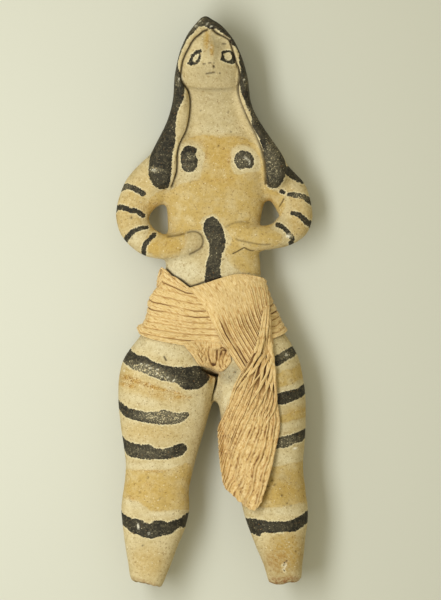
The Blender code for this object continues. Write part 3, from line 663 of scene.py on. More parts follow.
topFinishes = [
    ("chalk", "fine", 0.38, 0.50, 0.0, 1.0, "F0E8CC"),
    # rust-brown stains, and painted shade in the hollow under the cloth
    ("rustAndShade", "small", 0.30, 0.65, 0.0, 1.0, "8E5F35"),
    # painted shade in slits, cuts and pits, with dirt on the breaks
    ("shadeAndDirt", "fine", 0.00, 1.00, 0.96, 0.96, "2E1F0E"),
    (None, "speck", 0.69, 0.73, 0.0, 0.55, "6E4F28"),
]


def layFinishes(tree, colour, finishes, field, cloud):
    for name, pattern, low, high, least, most, code in finishes:
        share = addNode(tree, "MapRange", {"Value": cloud[pattern], "From Min": low, "From Max": high,
                                           "To Min": least, "To Max": most}, interpolation_type="SMOOTHSTEP")
        if name:
            share = addNode(tree, "Math", {0: share, 1: field[name]}, operation="MULTIPLY")
        colour = addNode(tree, "Mix", {0: share, 6: colour, 7: hexColour(code)}, 2, data_type="RGBA")
    return colour


def sway(tree, edge, cloud, swings):  # an edge in millimetres, made ragged by the clouds
    for name, strength in swings.items():
        swing = addNode(tree, "Math", {0: cloud[name], 1: 0.5}, operation="SUBTRACT")
        edge = addNode(tree, "Math", {0: swing, 1: strength, 2: edge}, operation="MULTIPLY_ADD")
    return edge


def clayMaterial():
    # Fired marl clay with an earth wash and black mineral paint, laid on by brush: matt, chalky, flaking
    material, tree, shader = newMaterial("fired_painted_clay")
    where = addNode(tree, "TexCoord", out="Object")
    field = {name: addNode(tree, "Attribute", out="Fac", attribute_name=name)
             for name in ("paint", "wash", "shadeAndDirt", *washes)}
    cloud = {name: addNode(tree, "TexNoise", {"Vector": where, "Scale": 1 / size, "Detail": detail,
                                              "Roughness": rough}, "Fac")
             for name, (size, detail, rough) in clayClouds.items()}

    edge = sway(tree, field["wash"], cloud, {"middling": 3.4, "small": 2.2, "fine": 1.2})
    field["washed"] = addNode(tree, "MapRange", {"Value": edge, "From Min": 0.35, "From Max": -0.25,
                                                 "To Max": 0.85})
    edge = addNode(tree, "Math", {0: edge}, operation="ABSOLUTE")
    field["tide"] = addNode(tree, "MapRange", {"Value": edge, "From Min": 0.4, "From Max": 0.05})
    colour = layFinishes(tree, hexColour("C8B687"), clayFinishes, field, cloud)

    # a pale rim where the paint has drawn the wash off, then the paint itself with its ragged edge
    ragged = sway(tree, field["paint"], cloud, {"small": 1.5, "fine": 1.3})
    rim = addNode(tree, "MapRange", {"Value": ragged, "From Min": 0.75, "From Max": 0.1, "To Max": 0.8})
    patchy = addNode(tree, "MapRange", {"Value": cloud["middling"], "From Min": 0.35, "From Max": 0.6})
    rim = addNode(tree, "Math", {0: rim, 1: patchy}, operation="MULTIPLY")
    colour = addNode(tree, "Mix", {0: rim, 6: colour, 7: hexColour("E4D7AC")}, 2, data_type="RGBA")
    covered = addNode(tree, "MapRange", {"Value": ragged, "From Min": 0.07, "From Max": -0.07})
    flaking = addNode(tree, "Math", {0: field["wear"], 1: 0.12, 2: cloud["fine"]}, operation="MULTIPLY_ADD")
    kept = addNode(tree, "MapRange", {"Value": flaking, "From Min": 0.72, "From Max": 0.66})
    held = addNode(tree, "Math", {0: covered, 1: kept}, operation="MULTIPLY")
    black = layFinishes(tree, hexColour("221F15"), blackFinishes, field, cloud)
    colour = addNode(tree, "Mix", {0: held, 6: colour, 7: black}, 2, data_type="RGBA")
    colour = layFinishes(tree, colour, topFinishes, field, cloud)

    tree.links.new(colour, shader.inputs["Base Color"])
    rough = addNode(tree, "MapRange", {"Value": held, "To Min": 0.9, "To Max": 0.74})
    tree.links.new(rough, shader.inputs["Roughness"])
    shader.inputs["IOR"].default_value = 1.33
    grit = addNode(tree, "Math", {0: cloud["small"], 1: 0.8, 2: cloud["fine"]}, operation="MULTIPLY_ADD")
    height = addNode(tree, "Math", {0: held, 1: 0.35, 2: grit}, operation="MULTIPLY_ADD")
    relief = addNode(tree, "Bump", {"Height": height, "Strength": 0.55, "Distance": 0.24 * mm})
    tree.links.new(relief, shader.inputs["Normal"])
    return material


body = makeClay()
body.data.materials.clear()
body.data.materials.append(clayMaterial())
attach(body, "root")
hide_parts("clay_figure")
print("clay done")


# The loincloth: one strip of fine linen, pleated lengthwise, wound round the hips, passed between the
# thighs, crossed over the front and twisted once so that its end hangs down over the thigh

linen = {
    "gap": 0.3 * mm,        # between the clay and the cloth
    "thick": 0.24 * mm,
    "crinkle": 0.13 * mm,
    "wrapFlat": (33 * mm, 200 * mm),    # both parts laid flat, width and length
    "endFlat": (33 * mm, 110 * mm),
}

# The part wound round the hips: edges as shares of the half width and pixel rows, and the rows where
# the first, sixth and eleventh pleat lie
band = {
    "around": 200,
    "rows": 132,
    "halfWidth": 27 * mm,
    "halfDepth": 9.5 * mm,
    "middleZ": 11.3 * mm,
    "top": {"front": [(-1, 281), (-0.96, 276), (-0.92, 270), (-0.89, 266.8), (-0.8, 270), (-0.63, 277),
                      (-0.44, 286.4), (-0.2, 292), (0.2, 291), (0.6, 280), (0.82, 277), (1, 280)],
            "back": [(-1, 281), (-0.5, 274), (0, 274), (0.5, 277), (1, 280)]},
    "bottom": {"front": [(-1, 329), (-0.88, 334.5), (-0.675, 339.5), (-0.4, 345), (0, 349), (0.4, 346),
                         (0.76, 336), (1, 330)],
               "back": [(-1, 329), (-0.6, 338), (0, 346), (0.6, 338), (1, 330)]},
    "lines": {"front": [(-1, 270, 307, 334), (-0.9, 274, 310, 339), (-0.3, 284, 317, 347),
                        (0.3, 285, 317, 349), (0.8, 281, 315, 343), (1, 277, 310, 335)],
              "back": [(-1, 270, 307, 334), (0, 276, 312, 344), (1, 277, 310, 335)]},
    "depth": 0.6 * mm,
    "proudLeft": 1.6 * mm,      # how far it stands off the hips at the sides
    "proudRight": 1.3 * mm,
    "flap": 1.3 * mm,           # its rolled upper edge
}

# Each part below follows guide lines along its pleats, from left to right, as pixels. Its depth, ridge,
# flat and twin shape a pleat, lift is how high it lies, and wander how far the pleats stray
crotch = {
    "guides": [
        [(181, 342), (188, 350), (193.5, 357), (198, 364), (203, 368.4)],
        [(189, 341), (195, 350), (200, 358), (204.4, 365.4), (208, 371)],
        [(199, 340), (204, 350), (208, 358), (211, 366), (213, 373)],
        [(210, 340), (213, 350), (215.5, 359), (217.4, 368), (218.4, 375.4)],
        [(221, 340), (222, 350), (222.8, 358), (224, 366), (225, 373.4)],
        [(232, 341), (230.6, 348), (230.4, 354), (231.2, 360), (232.6, 364.6)],
    ],
    "across": 85, "along": 64,
    "pleats": 5, "depth": 0.3 * mm, "lift": 0.3 * mm, "wander": 0.5, "ridge": 0.12, "flat": 0.5, "twin": 0.7,
    "floor": 6 * mm,            # what lies deeper than this is spanned
    "tuck": 0.2,                # the share of its length that turns under between the thighs
    # its creases: points, then width in pixels and depth in millimetres
    "creases": [
        ([
            (209.4, 347), (208.8, 353), (209.6, 359), (211.6, 364), (213.8, 365.6), (216, 363),
            (217.2, 357), (217, 350)], 0.75, 0.6),
        ([(213.0, 363.6), (214.2, 364.6)], 1.1, 1.0),
        ([(203.6, 348), (201.6, 351.6), (203.8, 354.6), (201.6, 358), (203, 362)], 0.6, 0.45),
        ([(199, 347.6), (200.4, 350.6), (198.6, 353.6), (199.8, 356)], 0.6, 0.4),
        ([(206.4, 349), (205, 353), (206.6, 357), (206, 362)], 0.6, 0.35),
        ([(221.6, 351), (220, 357), (219.6, 363), (221, 369)], 0.75, 0.5),
        ([(226.6, 350), (224.6, 355), (222.8, 361), (223, 367)], 0.7, 0.45),
        ([(230.4, 353), (228, 358), (225.8, 363), (225.6, 367)], 0.7, 0.4),
        ([(220.8, 348.4), (223, 347.4), (225.6, 350.4), (223, 350)], 0.7, 0.8),
        ([(190, 344), (193.4, 350), (197, 356)], 0.5, 0.15),
        ([(196, 343), (199, 345.6), (204, 346), (210, 345), (218, 346)], 0.7, 0.25),
    ],
}
overlap = {
    "guides": [
        [(188, 288), (199, 300), (208, 314), (215, 329), (223, 344), (233, 359), (243, 374)],
        [(203, 284), (213, 299), (221.4, 316), (229.6, 333), (238.4, 348), (248, 364)],
        [(219, 278.6), (227, 295.5), (234.4, 312), (242, 329), (249.4, 345), (256.2, 358)],
        [(232, 275), (239, 290), (245.8, 306), (251.4, 322.5), (256.6, 339), (260.8, 351)],
        [(243.5, 274), (250, 286), (255.4, 299), (259.8, 313), (262.8, 328), (264.6, 342)],
        [(254, 275.6), (260, 284.6), (263.8, 295), (266, 307), (267, 322), (267.4, 334)],
        [(264, 278.4), (267.4, 287), (269.2, 296), (270, 305), (270.2, 314), (269.8, 325)],
    ],
    "across": 150, "along": 98,
    "pleats": 15, "depth": 0.8 * mm, "lift": 0.5 * mm, "wander": 0.18, "ridge": 0.2, "flat": 0.5, "twin": 0,
    "floor": 6 * mm,
    "grooves": (0.13, 0.185),   # the two deep folds beside its left edge
}
tail = {
    "guides": [
        [
            (263, 303), (261.5, 318), (259, 334), (255, 350), (246, 367), (239.5, 378), (234.6, 390),
            (229.5, 402), (223.4, 414), (217.6, 427)],
        [
            (264.5, 302), (263.5, 318), (261.5, 334), (258.5, 350), (251, 367), (243.5, 385), (235.4, 403),
            (227.4, 424), (218.6, 447)],
        [
            (265.8, 301), (265.2, 318), (264.2, 334), (262.4, 350), (257, 368), (249.4, 388), (240.4, 410),
            (230.4, 436), (220.6, 468)],
        [
            (267, 301), (267, 318), (266.8, 334), (266.2, 350), (262.8, 368), (256.4, 390), (246.4, 414),
            (235.6, 442), (224, 486)],
        [
            (268, 301), (268.6, 318), (268.8, 334), (269, 350), (267.8, 370), (264.4, 392), (255.6, 414),
            (245.4, 441), (232.6, 495)],
        [
            (268.4, 301), (269.2, 318), (269.8, 334), (270.6, 350), (271.6, 372), (271.4, 394),
            (265.6, 414), (256.2, 442), (243.6, 505)],
        [
            (268.6, 301), (269.5, 318), (270.2, 334), (271.4, 350), (273.4, 372), (275.4, 398),
            (273.8, 420), (266.4, 446), (253.4, 509.6)],
        [
            (268.8, 301), (269.8, 318), (270.4, 334), (271.8, 350), (274, 371), (276.8, 398), (280, 424),
            (275.9, 448), (269.4, 476), (260.8, 502.6)],
    ],
    "across": 180, "along": 200,
    "pleats": 10, "depth": 1.0 * mm, "lift": 0.7 * mm, "wander": 0.22, "ridge": 0.11, "flat": 0.2,
    "twin": 0.7, "floor": 16 * mm,
    "corner": 2.6 * mm,         # how far its lower right edge stands off the thigh
}
# The strands drawn together over the tail's neck lie between these guides, from left to right. Some
# cross over the others on their way down
strands = {
    "guides": [
        [
            (265.4, 304), (263.4, 314), (261.2, 326), (259.2, 338), (256.8, 347.6), (252, 356),
            (246.6, 364.6), (240.8, 374.6), (235.2, 386), (230.4, 398), (226, 408)],
        [
            (267, 303), (265.8, 314), (264.4, 328), (262.6, 341), (260.4, 351), (256, 360.6), (250, 371),
            (244.2, 383), (239, 396), (233.6, 410)],
        [
            (268.2, 303), (267.6, 316), (266.6, 330), (265.4, 343), (264, 354), (260.2, 365),
            (254.8, 376.6), (249.6, 389), (244.6, 403), (240, 418)],
        [
            (269, 304), (269, 318), (268.6, 331), (268, 344), (267.2, 356), (263.8, 368), (258.6, 380),
            (252.6, 393), (247, 406), (242, 419)],
        [
            (269.4, 306), (269.8, 320), (270, 333), (270.2, 346), (270.4, 358), (269.4, 370), (266, 383),
            (260.6, 396), (254.6, 409), (249, 424)],
        [
            (269.6, 308), (270.2, 322), (270.8, 335), (271.6, 348), (272.6, 360), (274, 373), (275.2, 387),
            (275.8, 399), (272.6, 411), (267, 422), (262, 434)],
    ],
    "across": 50, "along": 90,
    "thick": 0.62 * mm,
    # where each starts and ends, as shares of the width, and how high it lies in millimetres
    "ways": [(0.0, 0.0, 0.0), (0.14, 0.2, 0.0), (0.3, 0.4, 0.0), (0.46, 0.58, 0.0), (0.62, 0.76, 0.0),
             (0.8, 0.92, 0.0), (0.45, 0.1, 0.35), (0.7, 0.3, 0.4), (0.86, 0.48, 0.35), (0.96, 0.66, 0.4),
             (1.0, 0.83, 0.3), (1.0, 1.0, 0.2), (0.24, 0.03, 0.3)],
}


def evenly(guide, count):
    return resample(smoothLine(guide, 8), count)


def fan(part):  # rows of places, along the guides and smoothly across them
    lines = np.array([evenly(guide, part["along"] + 1) for guide in part["guides"]])
    return np.array([evenly(row, part["across"] + 1) for row in lines.transpose(1, 0, 2)])


def ribPleat(phase, wide, rest, twin):  # a pressed ridge beside a lower flat one, and the lines between
    f = phase - np.floor(phase)
    ridge = bump(f, 0.22, wide)
    flat = rest * np.sin(np.pi * np.clip((f - 0.42) / 0.56, 0, 1)) ** 0.7
    line = bump(np.minimum(f, 1 - f), 0, 0.13) + twin * bump(f, 0.22 + 1.7 * wide, 0.09)
    return np.maximum(ridge, flat), line


def uneven(phase, seed, least=0.5):  # each pleat has a height of its own
    share = np.random.RandomState(seed).uniform(least, 1.0, 64)
    return share[np.round(phase).astype(int) % 64]


def field2d(spots, size, seed):
    flatSpots = np.zeros((spots.shape[0] * spots.shape[1], 3))
    flatSpots[:, :spots.shape[2]] = spots.reshape(len(flatSpots), -1)
    return grain(flatSpots, size, seed).reshape(spots.shape[:2])


def settle(heights, passes):  # cloth spans the hollows under it, and evens out the bumps
    rest = heights
    for k in range(passes + 14):
        wide = np.pad(heights, 1, mode="edge")
        near = (wide[:-2, 1:-1] + wide[2:, 1:-1] + wide[1:-1, :-2] + wide[1:-1, 2:]) / 4
        heights = 0.5 * heights + 0.5 * near
        if k < passes:
            heights = np.maximum(rest, heights)
    return heights


def layOn(trees, flat, floor):  # heights of what lies under each place
    heights = np.full(flat.shape[:2], np.nan)
    for j, row in enumerate(flat):
        for i, (px, py) in enumerate(row):
            x, y = place(px, py)
            for tree in trees:
                hit = tree.ray_cast(Vector((x, y, 60 * mm)), Vector((0, 0, -1)))[0]
                if hit is not None and hit.z > floor and not hit.z <= heights[j, i]:
                    heights[j, i] = hit.z
        known = np.flatnonzero(~np.isnan(heights[j]))
        if len(known):
            heights[j] = np.interp(np.arange(len(row)), known, heights[j][known])
        elif j:
            heights[j] = heights[j - 1]
    return heights


def sheetNormals(spots):
    normals = np.cross(np.gradient(spots, axis=0), np.gradient(spots, axis=1))
    return normals / np.maximum(np.linalg.norm(normals, axis=2), 1e-12)[..., None]


def startCloth():
    bm = bmesh.new()
    bm.verts.layers.float.new("foldShadeAndDirt")
    bm.loops.layers.uv.new("cloth")
    return bm


def addSheet(bm, spots, foldShadeAndDirt, pleatsRun="rows"):  # a grid moved onto the spots, its U across the pleats
    foldOf, uv = bm.verts.layers.float["foldShadeAndDirt"], bm.loops.layers.uv["cloth"]
    rows, columns = spots.shape[:2]
    made = bmesh.ops.create_grid(bm, x_segments=columns - 1, y_segments=rows - 1, size=1.0)
    gaps = np.linalg.norm(np.diff(spots, axis=1, prepend=spots[:, :1]), axis=2)
    across = np.cumsum(gaps, axis=1).mean(axis=0)
    gaps = np.linalg.norm(np.diff(spots, axis=0, prepend=spots[:1]), axis=2)
    along = np.cumsum(gaps, axis=0).mean(axis=1)
    where = {}
    for k, vertex in enumerate(made["verts"]):
        j, i = divmod(k, columns)
        vertex.co = spots[j, i]
        vertex[foldOf] = foldShadeAndDirt[j, i]
        where[vertex] = (across[i], along[j]) if pleatsRun == "rows" else (along[j], across[i])
    for face in {face for vertex in made["verts"] for face in vertex.link_faces}:
        face.smooth = True
        for loop in face.loops:
            loop[uv].uv = where[loop.vert]
    return made["verts"]


def bandGrid():  # the columns as a cosine and a sine each, and the rows from the upper edge to the lower
    turns = np.linspace(1.5 * math.pi, 3.5 * math.pi, 2001)
    inFront = np.sin(turns) > -0.1
    # columns lie closer together where they show: on the front's left and right
    weight = 0.8 + 1.9 * inFront * (np.cos(turns) < 0) + 1.2 * inFront * (np.cos(turns) > 0.7)
    run = np.concatenate([[0], np.cumsum(weight[1:])])
    turns = np.interp(np.linspace(0, run[-1], band["around"] + 1), run, turns)
    c, s = np.cos(turns), np.sin(turns)
    side = ["front" if value >= 0 else "back" for value in s]
    top, bottom = (np.array([np.interp(a, *np.array(band[edge][b]).T) for a, b in zip(c, side)])
                   for edge in ("top", "bottom"))
    v = np.linspace(0, 1, band["rows"] + 1)[:, None] * np.ones(len(turns))
    return c, s, side, v, top + (bottom - top) * v


def bandReach(clayTree, middles, ways):  # how far out the hips are, with their hollows spanned
    reach = np.zeros(middles.shape[:2])
    for j, i in np.ndindex(reach.shape):
        way, middle = Vector(ways[i]), Vector(middles[j, i])
        hit = clayTree.ray_cast(middle + way * 60 * mm, -way)[0]
        reach[j, i] = (hit - middle).length if hit else 10 * mm
    rest = reach
    for turn in range(40):
        wide = np.hstack([reach[:, -2:-1], reach, reach[:, 1:2]])
        tall = np.pad(reach, ((1, 1), (0, 0)), mode="edge")
        near = (wide[:, :-2] + wide[:, 2:] + tall[:-2] + tall[2:]) / 4
        reach = np.maximum(rest, 0.5 * reach + 0.5 * near)
    return reach


def bandPleats(c, side, row, spots):  # counts the pleats from the upper edge down
    phase = np.zeros(row.shape)
    for i, name in enumerate(side):
        knots = np.array(band["lines"][name])
        at = [np.interp(c[i], knots[:, 0], knots[:, k]) for k in (1, 2, 3)]
        phase[:, i] = np.interp(row[:, i], [at[0] - 14, *at, at[2] + 14], [-2, 0, 5, 10, 12])
    return phase + (0.16 * field2d(spots, 12 * mm, 2.0) + 0.05 * field2d(spots, 3 * mm, 4.0))


def layBand(bm, clayTree):
    c, s, side, v, row = bandGrid()
    ways = np.column_stack([c * band["halfWidth"], 0 * c, s * band["halfDepth"]])
    ways /= np.linalg.norm(ways, axis=1)[:, None]
    middles = np.dstack([0 * row, place(0, row)[1], 0 * row + band["middleZ"]])
    reach = bandReach(clayTree, middles, ways)
    reach = reach + band["proudLeft"] * rise(-c, 0.62, 0.95) * rise(v, 0.2, 0.42) * rise(s, -0.9, -0.2)
    reach += band["proudRight"] * rise(c, 0.62, 0.95) * rise(s, -0.9, -0.2)
    spots = middles + ways[None] * (reach + linen["gap"] + linen["thick"])[..., None]

    normals = sheetNormals(spots)
    normals *= np.sign((normals * ways[None]).sum(axis=2))[..., None]
    phase = bandPleats(c, side, row, spots)
    crease = np.clip(0.20 - 0.26 * (c + 0.77), 0.07, 0.22)  # the fold under the rolled edge
    leftFront = rise(-c, 0.2, 0.42) * rise(s, -0.2, 0.15)
    rolled = rise(crease - v, -0.01, 0.02) * leftFront
    phase = phase * (1 - rolled) + rolled * (3.2 * v / crease)
    f = phase - np.floor(phase)
    near = np.minimum(f, 1 - f)
    strength = uneven(phase, 3, 0.6) * np.clip(0.8 + 0.7 * field2d(spots, 8 * mm, 6.0), 0.35, 1.1)
    line = bump(near, 0, 0.095) * strength
    fine = bump(abs(f - 0.5), 0, 0.07) * np.clip(field2d(spots, 7 * mm, 16.0) * 2, 0, 0.6)
    height = band["depth"] * (0.45 + 0.5 * f * (1 - bump(near, 0, 0.12)) - 0.9 * line - 0.45 * fine)
    # the pleat lines are painted dark as shade and dirt
    foldShadeAndDirt = 1.15 * line + 0.6 * fine

    height += band["flap"] * rolled * (1 - (v / crease) ** 2)
    # painted shade under the rolled edge
    deep = bump(v, crease, 0.010) * leftFront
    height -= 0.6 * mm * deep
    foldShadeAndDirt += 0.9 * deep
    tip = bump(c, -0.89, 0.07) * rise(-v, -0.09, 0) * rise(s, -0.3, 0.1)
    curl = bump(c, -1.02, 0.09) * rise(v, 0.86, 1.0) * rise(s, -0.35, -0.05)
    height += 1.3 * mm * tip + 1.5 * mm * curl
    height += 1.0 * mm * bump(v, 0.42, 0.17) * rise(-c, 0.72, 0.96) * rise(s, -0.5, -0.1)
    height += linen["crinkle"] * (field2d(spots, 1.1 * mm, 1.0) + 0.8 * field2d(spots, 2.6 * mm, 9.0))
    spots = spots + normals * height[..., None]
    spots[..., 2] = np.maximum(spots[..., 2], 0.05 * mm)
    spots[:, -1], foldShadeAndDirt[:, -1] = spots[:, 0], foldShadeAndDirt[:, 0]
    return addSheet(bm, spots[::-1, ::-1], np.clip(foldShadeAndDirt, 0, 1)[::-1, ::-1], "columns")


def laySheet(bm, part, trees, shape):
    flat = fan(part)
    u = np.linspace(0, 1, part["across"] + 1)[None] * np.ones((part["along"] + 1, 1))
    s = np.linspace(0, 1, part["along"] + 1)[:, None] * np.ones((1, part["across"] + 1))
    phase = u * part["pleats"]
    # the pleats wander sideways, and the columns of faces go with them
    wander = field2d(flat * photo["pixel"], 8 * mm, 2.5) + 0.4 * field2d(flat * photo["pixel"], 3 * mm, 4.5)
    wander *= part["wander"] * part["across"] / part["pleats"] * np.clip(20 * u * (1 - u), 0, 1)
    flat = flat + np.gradient(flat, axis=1) * wander[..., None]
    heights = settle(layOn(trees, flat, part["floor"]), 26)
    x, y = place(flat[..., 0], flat[..., 1])
    spots = np.dstack([x, y, heights + linen["gap"] + linen["thick"] + part["lift"]])
    pleat, line = ribPleat(phase, part["ridge"], part["flat"], part["twin"])
    size = part["depth"] * uneven(phase, part["across"]) * (1 + 0.45 * field2d(spots, 6 * mm, 6.5))
    height, foldShadeAndDirt = shape(u, s, phase, size * pleat, line, spots)
    crinkle = linen["crinkle"] * (field2d(spots, 1.0 * mm, 1.5) + 0.8 * field2d(spots, 2.4 * mm, 9.5))
    spots[..., 2] += height + crinkle
    return addSheet(bm, spots[::-1], np.clip(foldShadeAndDirt, 0, 1)[::-1])


def shapeCrotch(u, s, phase, height, line, spots):  # bunched where it goes down between the thighs
    bunched = field2d(spots, 3.6 * mm, 11.0)
    small = field2d(spots, 1.3 * mm, 14.0)
    deeper = rise(s, 0.05, 0.35)
    height = height * (0.4 + 0.6 * s) + (0.45 * bunched + 0.12 * small) * mm * deeper
    height += 1.2 * mm * np.sin(np.pi * u) * rise(s, 0, 0.6)
    height -= 1.1 * mm * rise(-s, -0.14, 0)  # it comes out of the band
    # painted shade and dirt in the bunched hollows and creases
    foldShadeAndDirt = 0.3 * line * deeper + 0.5 * np.clip(-bunched - 0.15, 0, 1) * deeper + 0.25 * np.clip(-small, 0, 1)
    at = seenAt(spots.reshape(-1, 3))
    for points, wide, deep in crotch["creases"]:
        near = bump(fromLine(at, smoothLine(points, 5)), 0, wide).reshape(s.shape)
        height -= 0.9 * deep * mm * near
        foldShadeAndDirt += 1.1 * deep * near
    under = np.clip((s - (1 - crotch["tuck"])) / crotch["tuck"], 0, 1)
    spots[..., 2] -= 7.0 * mm * (1 - np.sqrt(1 - under * under))
    spots[..., 1] += 1.6 * mm * under ** 3
    return height, foldShadeAndDirt


def shapeOverlap(u, s, phase, height, line, spots):  # flat at its upper left, sharply pleated lower down
    drawn = np.maximum(rise(s, 0.28 - 0.1 * u, 0.62), 0.9 * rise(u, 0.58, 0.74) * rise(s, 0.08, 0.3))
    drawn = np.clip(drawn, 0.14, 1)
    deep = sum(bump(u, at, 0.011) for at in overlap["grooves"]) * rise(s, 0.3, 0.6)
    hem = bump(s, 0, 0.022)
    strong = rise(s, 0.4, 0.62) * rise(u, 0.2, 0.3)
    height = height * drawn * (1 + 0.35 * strong) + 0.4 * mm * hem - 0.6 * mm * deep
    height -= 1.05 * mm * rise(-u, -0.13, 0) * rise(-s, -0.58, -0.3)  # it joins the band at the upper left
    height += 0.45 * mm * rise(-u, -0.12, -0.02) * rise(s, 0.4, 0.6)
    # painted shade and dirt along the pleat lines and the grooves
    foldShadeAndDirt = line * np.maximum(drawn, 0.3) * (0.85 + 0.8 * strong) + 1.0 * deep
    foldShadeAndDirt = foldShadeAndDirt * np.clip(0.85 + 0.7 * field2d(spots, 6 * mm, 31.0), 0.3, 1)
    return height, foldShadeAndDirt


def shapeTail(u, s, phase, height, line, spots):  # a neck painted dark as shade under the strands, spread out below it
    spread = rise(s, 0.36, 0.56)
    height = height * (0.25 + 0.75 * spread) - 0.5 * mm * (1 - spread) - 1.3 * mm * rise(-s, -0.1, 0)
    f = phase - np.floor(phase)
    between = rise(f, 0.30, 0.40) * rise(-f, -1.0, -0.92)
    small = field2d(spots, 0.85 * mm, 3.0)
    broader = field2d(spots, 1.9 * mm, 23.0)
    height += (0.26 * small + 0.14 * broader) * mm * spread * (0.1 + 0.9 * between)
    marks = np.clip(1.6 * np.clip(-small - 0.12, 0, 1), 0, 0.45) * (0.3 + 0.7 * between)
    foldShadeAndDirt = spread * (0.75 * line * np.clip(0.75 + 0.9 * field2d(spots, 5 * mm, 8.0), 0.3, 1.2) + marks)
    foldShadeAndDirt = np.maximum(foldShadeAndDirt, (1.0 - spread) * rise(s, 0.02, 0.1))
    corner = rise(s, 0.6, 1.0) * rise(u, 0.4, 1.0)
    spots[..., 2] += tail["corner"] * corner
    ragged = rise(s, 0.93, 1.0)
    spots[..., 1] -= 0.5 * mm * field2d(spots, 1.5 * mm, 12.0) * ragged
    spots[..., 0] -= 0.3 * mm * field2d(spots, 1.5 * mm, 15.0) * ragged
    return height, foldShadeAndDirt


def layTube(bm, path, thick, sides, flat, swell, turns, foldShadeAndDirt):  # a soft strand along a path
    share = np.linspace(0, 1, len(path))
    run = np.gradient(path, axis=0)
    run /= np.linalg.norm(run, axis=1)[:, None]
    across = np.cross(run, (0, 0, 1))
    across /= np.linalg.norm(across, axis=1)[:, None]
    up = np.cross(across, run) * flat
    turn = np.linspace(0, 2 * math.pi, sides + 1)
    lobes = np.cos(2 * (turn[None] + turns * share[:, None]))
    ring = across[:, None] * np.cos(turn)[None, :, None] + up[:, None] * np.sin(turn)[None, :, None]
    spots = path[:, None] + ring * (thick[:, None] * (1 + swell * lobes))[..., None]
    # the grooves of the twist are painted dark as shade
    made = addSheet(bm, spots, np.clip(foldShadeAndDirt - foldShadeAndDirt * lobes, 0, 1))
    bmesh.ops.remove_doubles(bm, verts=made, dist=0.002 * mm)  # closes its ends


def layStrands(bm, trees):
    share = np.linspace(0, 1, strands["along"] + 1)
    rows = fan(strands)
    columns = np.arange(strands["across"] + 1)
    for k, (first, last, lift) in enumerate(strands["ways"]):
        way = (first + (last - first) * rise(share, 0.3, 0.85)) * strands["across"]
        line = np.array([[np.interp(at, columns, row[:, a]) for a in (0, 1)] for at, row in zip(way, rows)])
        line = line + 0.7 * np.column_stack([grain(np.column_stack([line, share]), 9, 4.1 * k + a)
                                             for a in (0, 20)]) * rise(share, 0.1, 0.4)[:, None]
        x, y = place(line[:, 0], line[:, 1])
        z = layOn(trees, line[None], 0)[0]
        z = np.convolve(np.pad(z, 5, mode="edge"), np.ones(11) / 11, mode="valid")
        path = np.column_stack([x, y, z])
        path[:, 2] += (0.55 + lift - (0.75 + lift) * rise(share, 0.7, 1.0) - 1.5 * rise(-share, -0.08, 0)
                       + 0.5 * grain(path, 5 * mm, 3.3 * k)) * mm
        spacing = rise(share, 0.05, 0.5)
        thick = strands["thick"] * (0.75 + 0.25 * spacing) * (1 + 0.6 * grain(path, 3 * mm, 3.3 * k + 5))
        thick *= 1.0 + 0.25 * math.sin(2.4 * k) - 0.25 * rise(share, 0.55, 0.8)
        thick *= np.sqrt(np.clip(np.minimum(share / 0.04, (1 - share) / 0.16), 0, 1))
        layTube(bm, path, thick, 12, 0.75, 0.16, 7 + k % 3, 0.05 + 0.07 * (k % 4))


def thicken(piece):
    bm = openMesh(piece.data)
    bmesh.ops.remove_doubles(bm, verts=bm.verts, dist=0.001 * mm)
    closeMesh(bm, piece.data)
    wall = piece.modifiers.new("Thickness", "SOLIDIFY")
    wall.thickness = linen["thick"]
    wall.offset = -1.0
    applyModifiers(piece)


def makeLinen(clayMesh):
    clayTree = treeOf(clayMesh)
    bm = startCloth()
    layBand(bm, clayTree)
    wrap = newPiece("pleated_linen_wrap", bm)
    bandTree = treeOf(wrap.data)
    bm = openMesh(wrap.data)
    laySheet(bm, crotch, [clayTree, bandTree], shapeCrotch)
    laySheet(bm, overlap, [clayTree, bandTree], shapeOverlap)
    closeMesh(bm, wrap.data)
    wrapTree = treeOf(wrap.data)
    thicken(wrap)

    bm = startCloth()
    laySheet(bm, tail, [clayTree, wrapTree], shapeTail)
    end = newPiece("pleated_linen_end", bm)
    endTree = treeOf(end.data)
    thicken(end)
    bm = openMesh(end.data)
    layStrands(bm, [endTree, clayTree])
    closeMesh(bm, end.data)
    print("linen:", len(wrap.data.polygons), "and", len(end.data.polygons), "faces")
    return wrap, end


# Noise patterns in the linen: size, detail, and how the pattern is drawn out along U and V
linenClouds = {
    "yarn": (0.42 * mm, 2.0, (1.0, 0.16, 1.0)),     # yarns along the pleats, drawn coarser than real
    "weft": (0.8 * mm, 2.0, (0.4, 1.0, 1.0)),       # the crimps across them
    "thread": (0.9 * mm, 2.0, (1.0, 0.3, 1.0)),     # dark flecks along them
    "broad": (14 * mm, 3.0, (1.0, 1.0, 1.0)),
    "middling": (3.2 * mm, 4.0, (1.0, 0.6, 1.0)),
}
linenFinishes = [
    (None, "broad", 0.30, 0.70, 0.0, 1.0, "D2B474"),
    (None, "middling", 0.30, 0.60, 0.4, 0.0, "C0964F"),
    (None, "yarn", 0.42, 0.62, 0.0, 0.7, "E8CF98"),
    (None, "weft", 0.55, 0.70, 0.0, 0.3, "B08848"),
    (None, "thread", 0.56, 0.66, 0.0, 0.7, "A2763A"),
    # this and the deep entry below are painted shade and dirt in the folds
    ("foldShadeAndDirt", "middling", 0.20, 0.80, 0.8, 1.0, "A87834"),
    ("deep", "middling", 0.20, 0.80, 0.9, 1.0, "5E3A14"),
    (None, "middling", 0.64, 0.76, 0.0, 0.4, "A87236"),
]


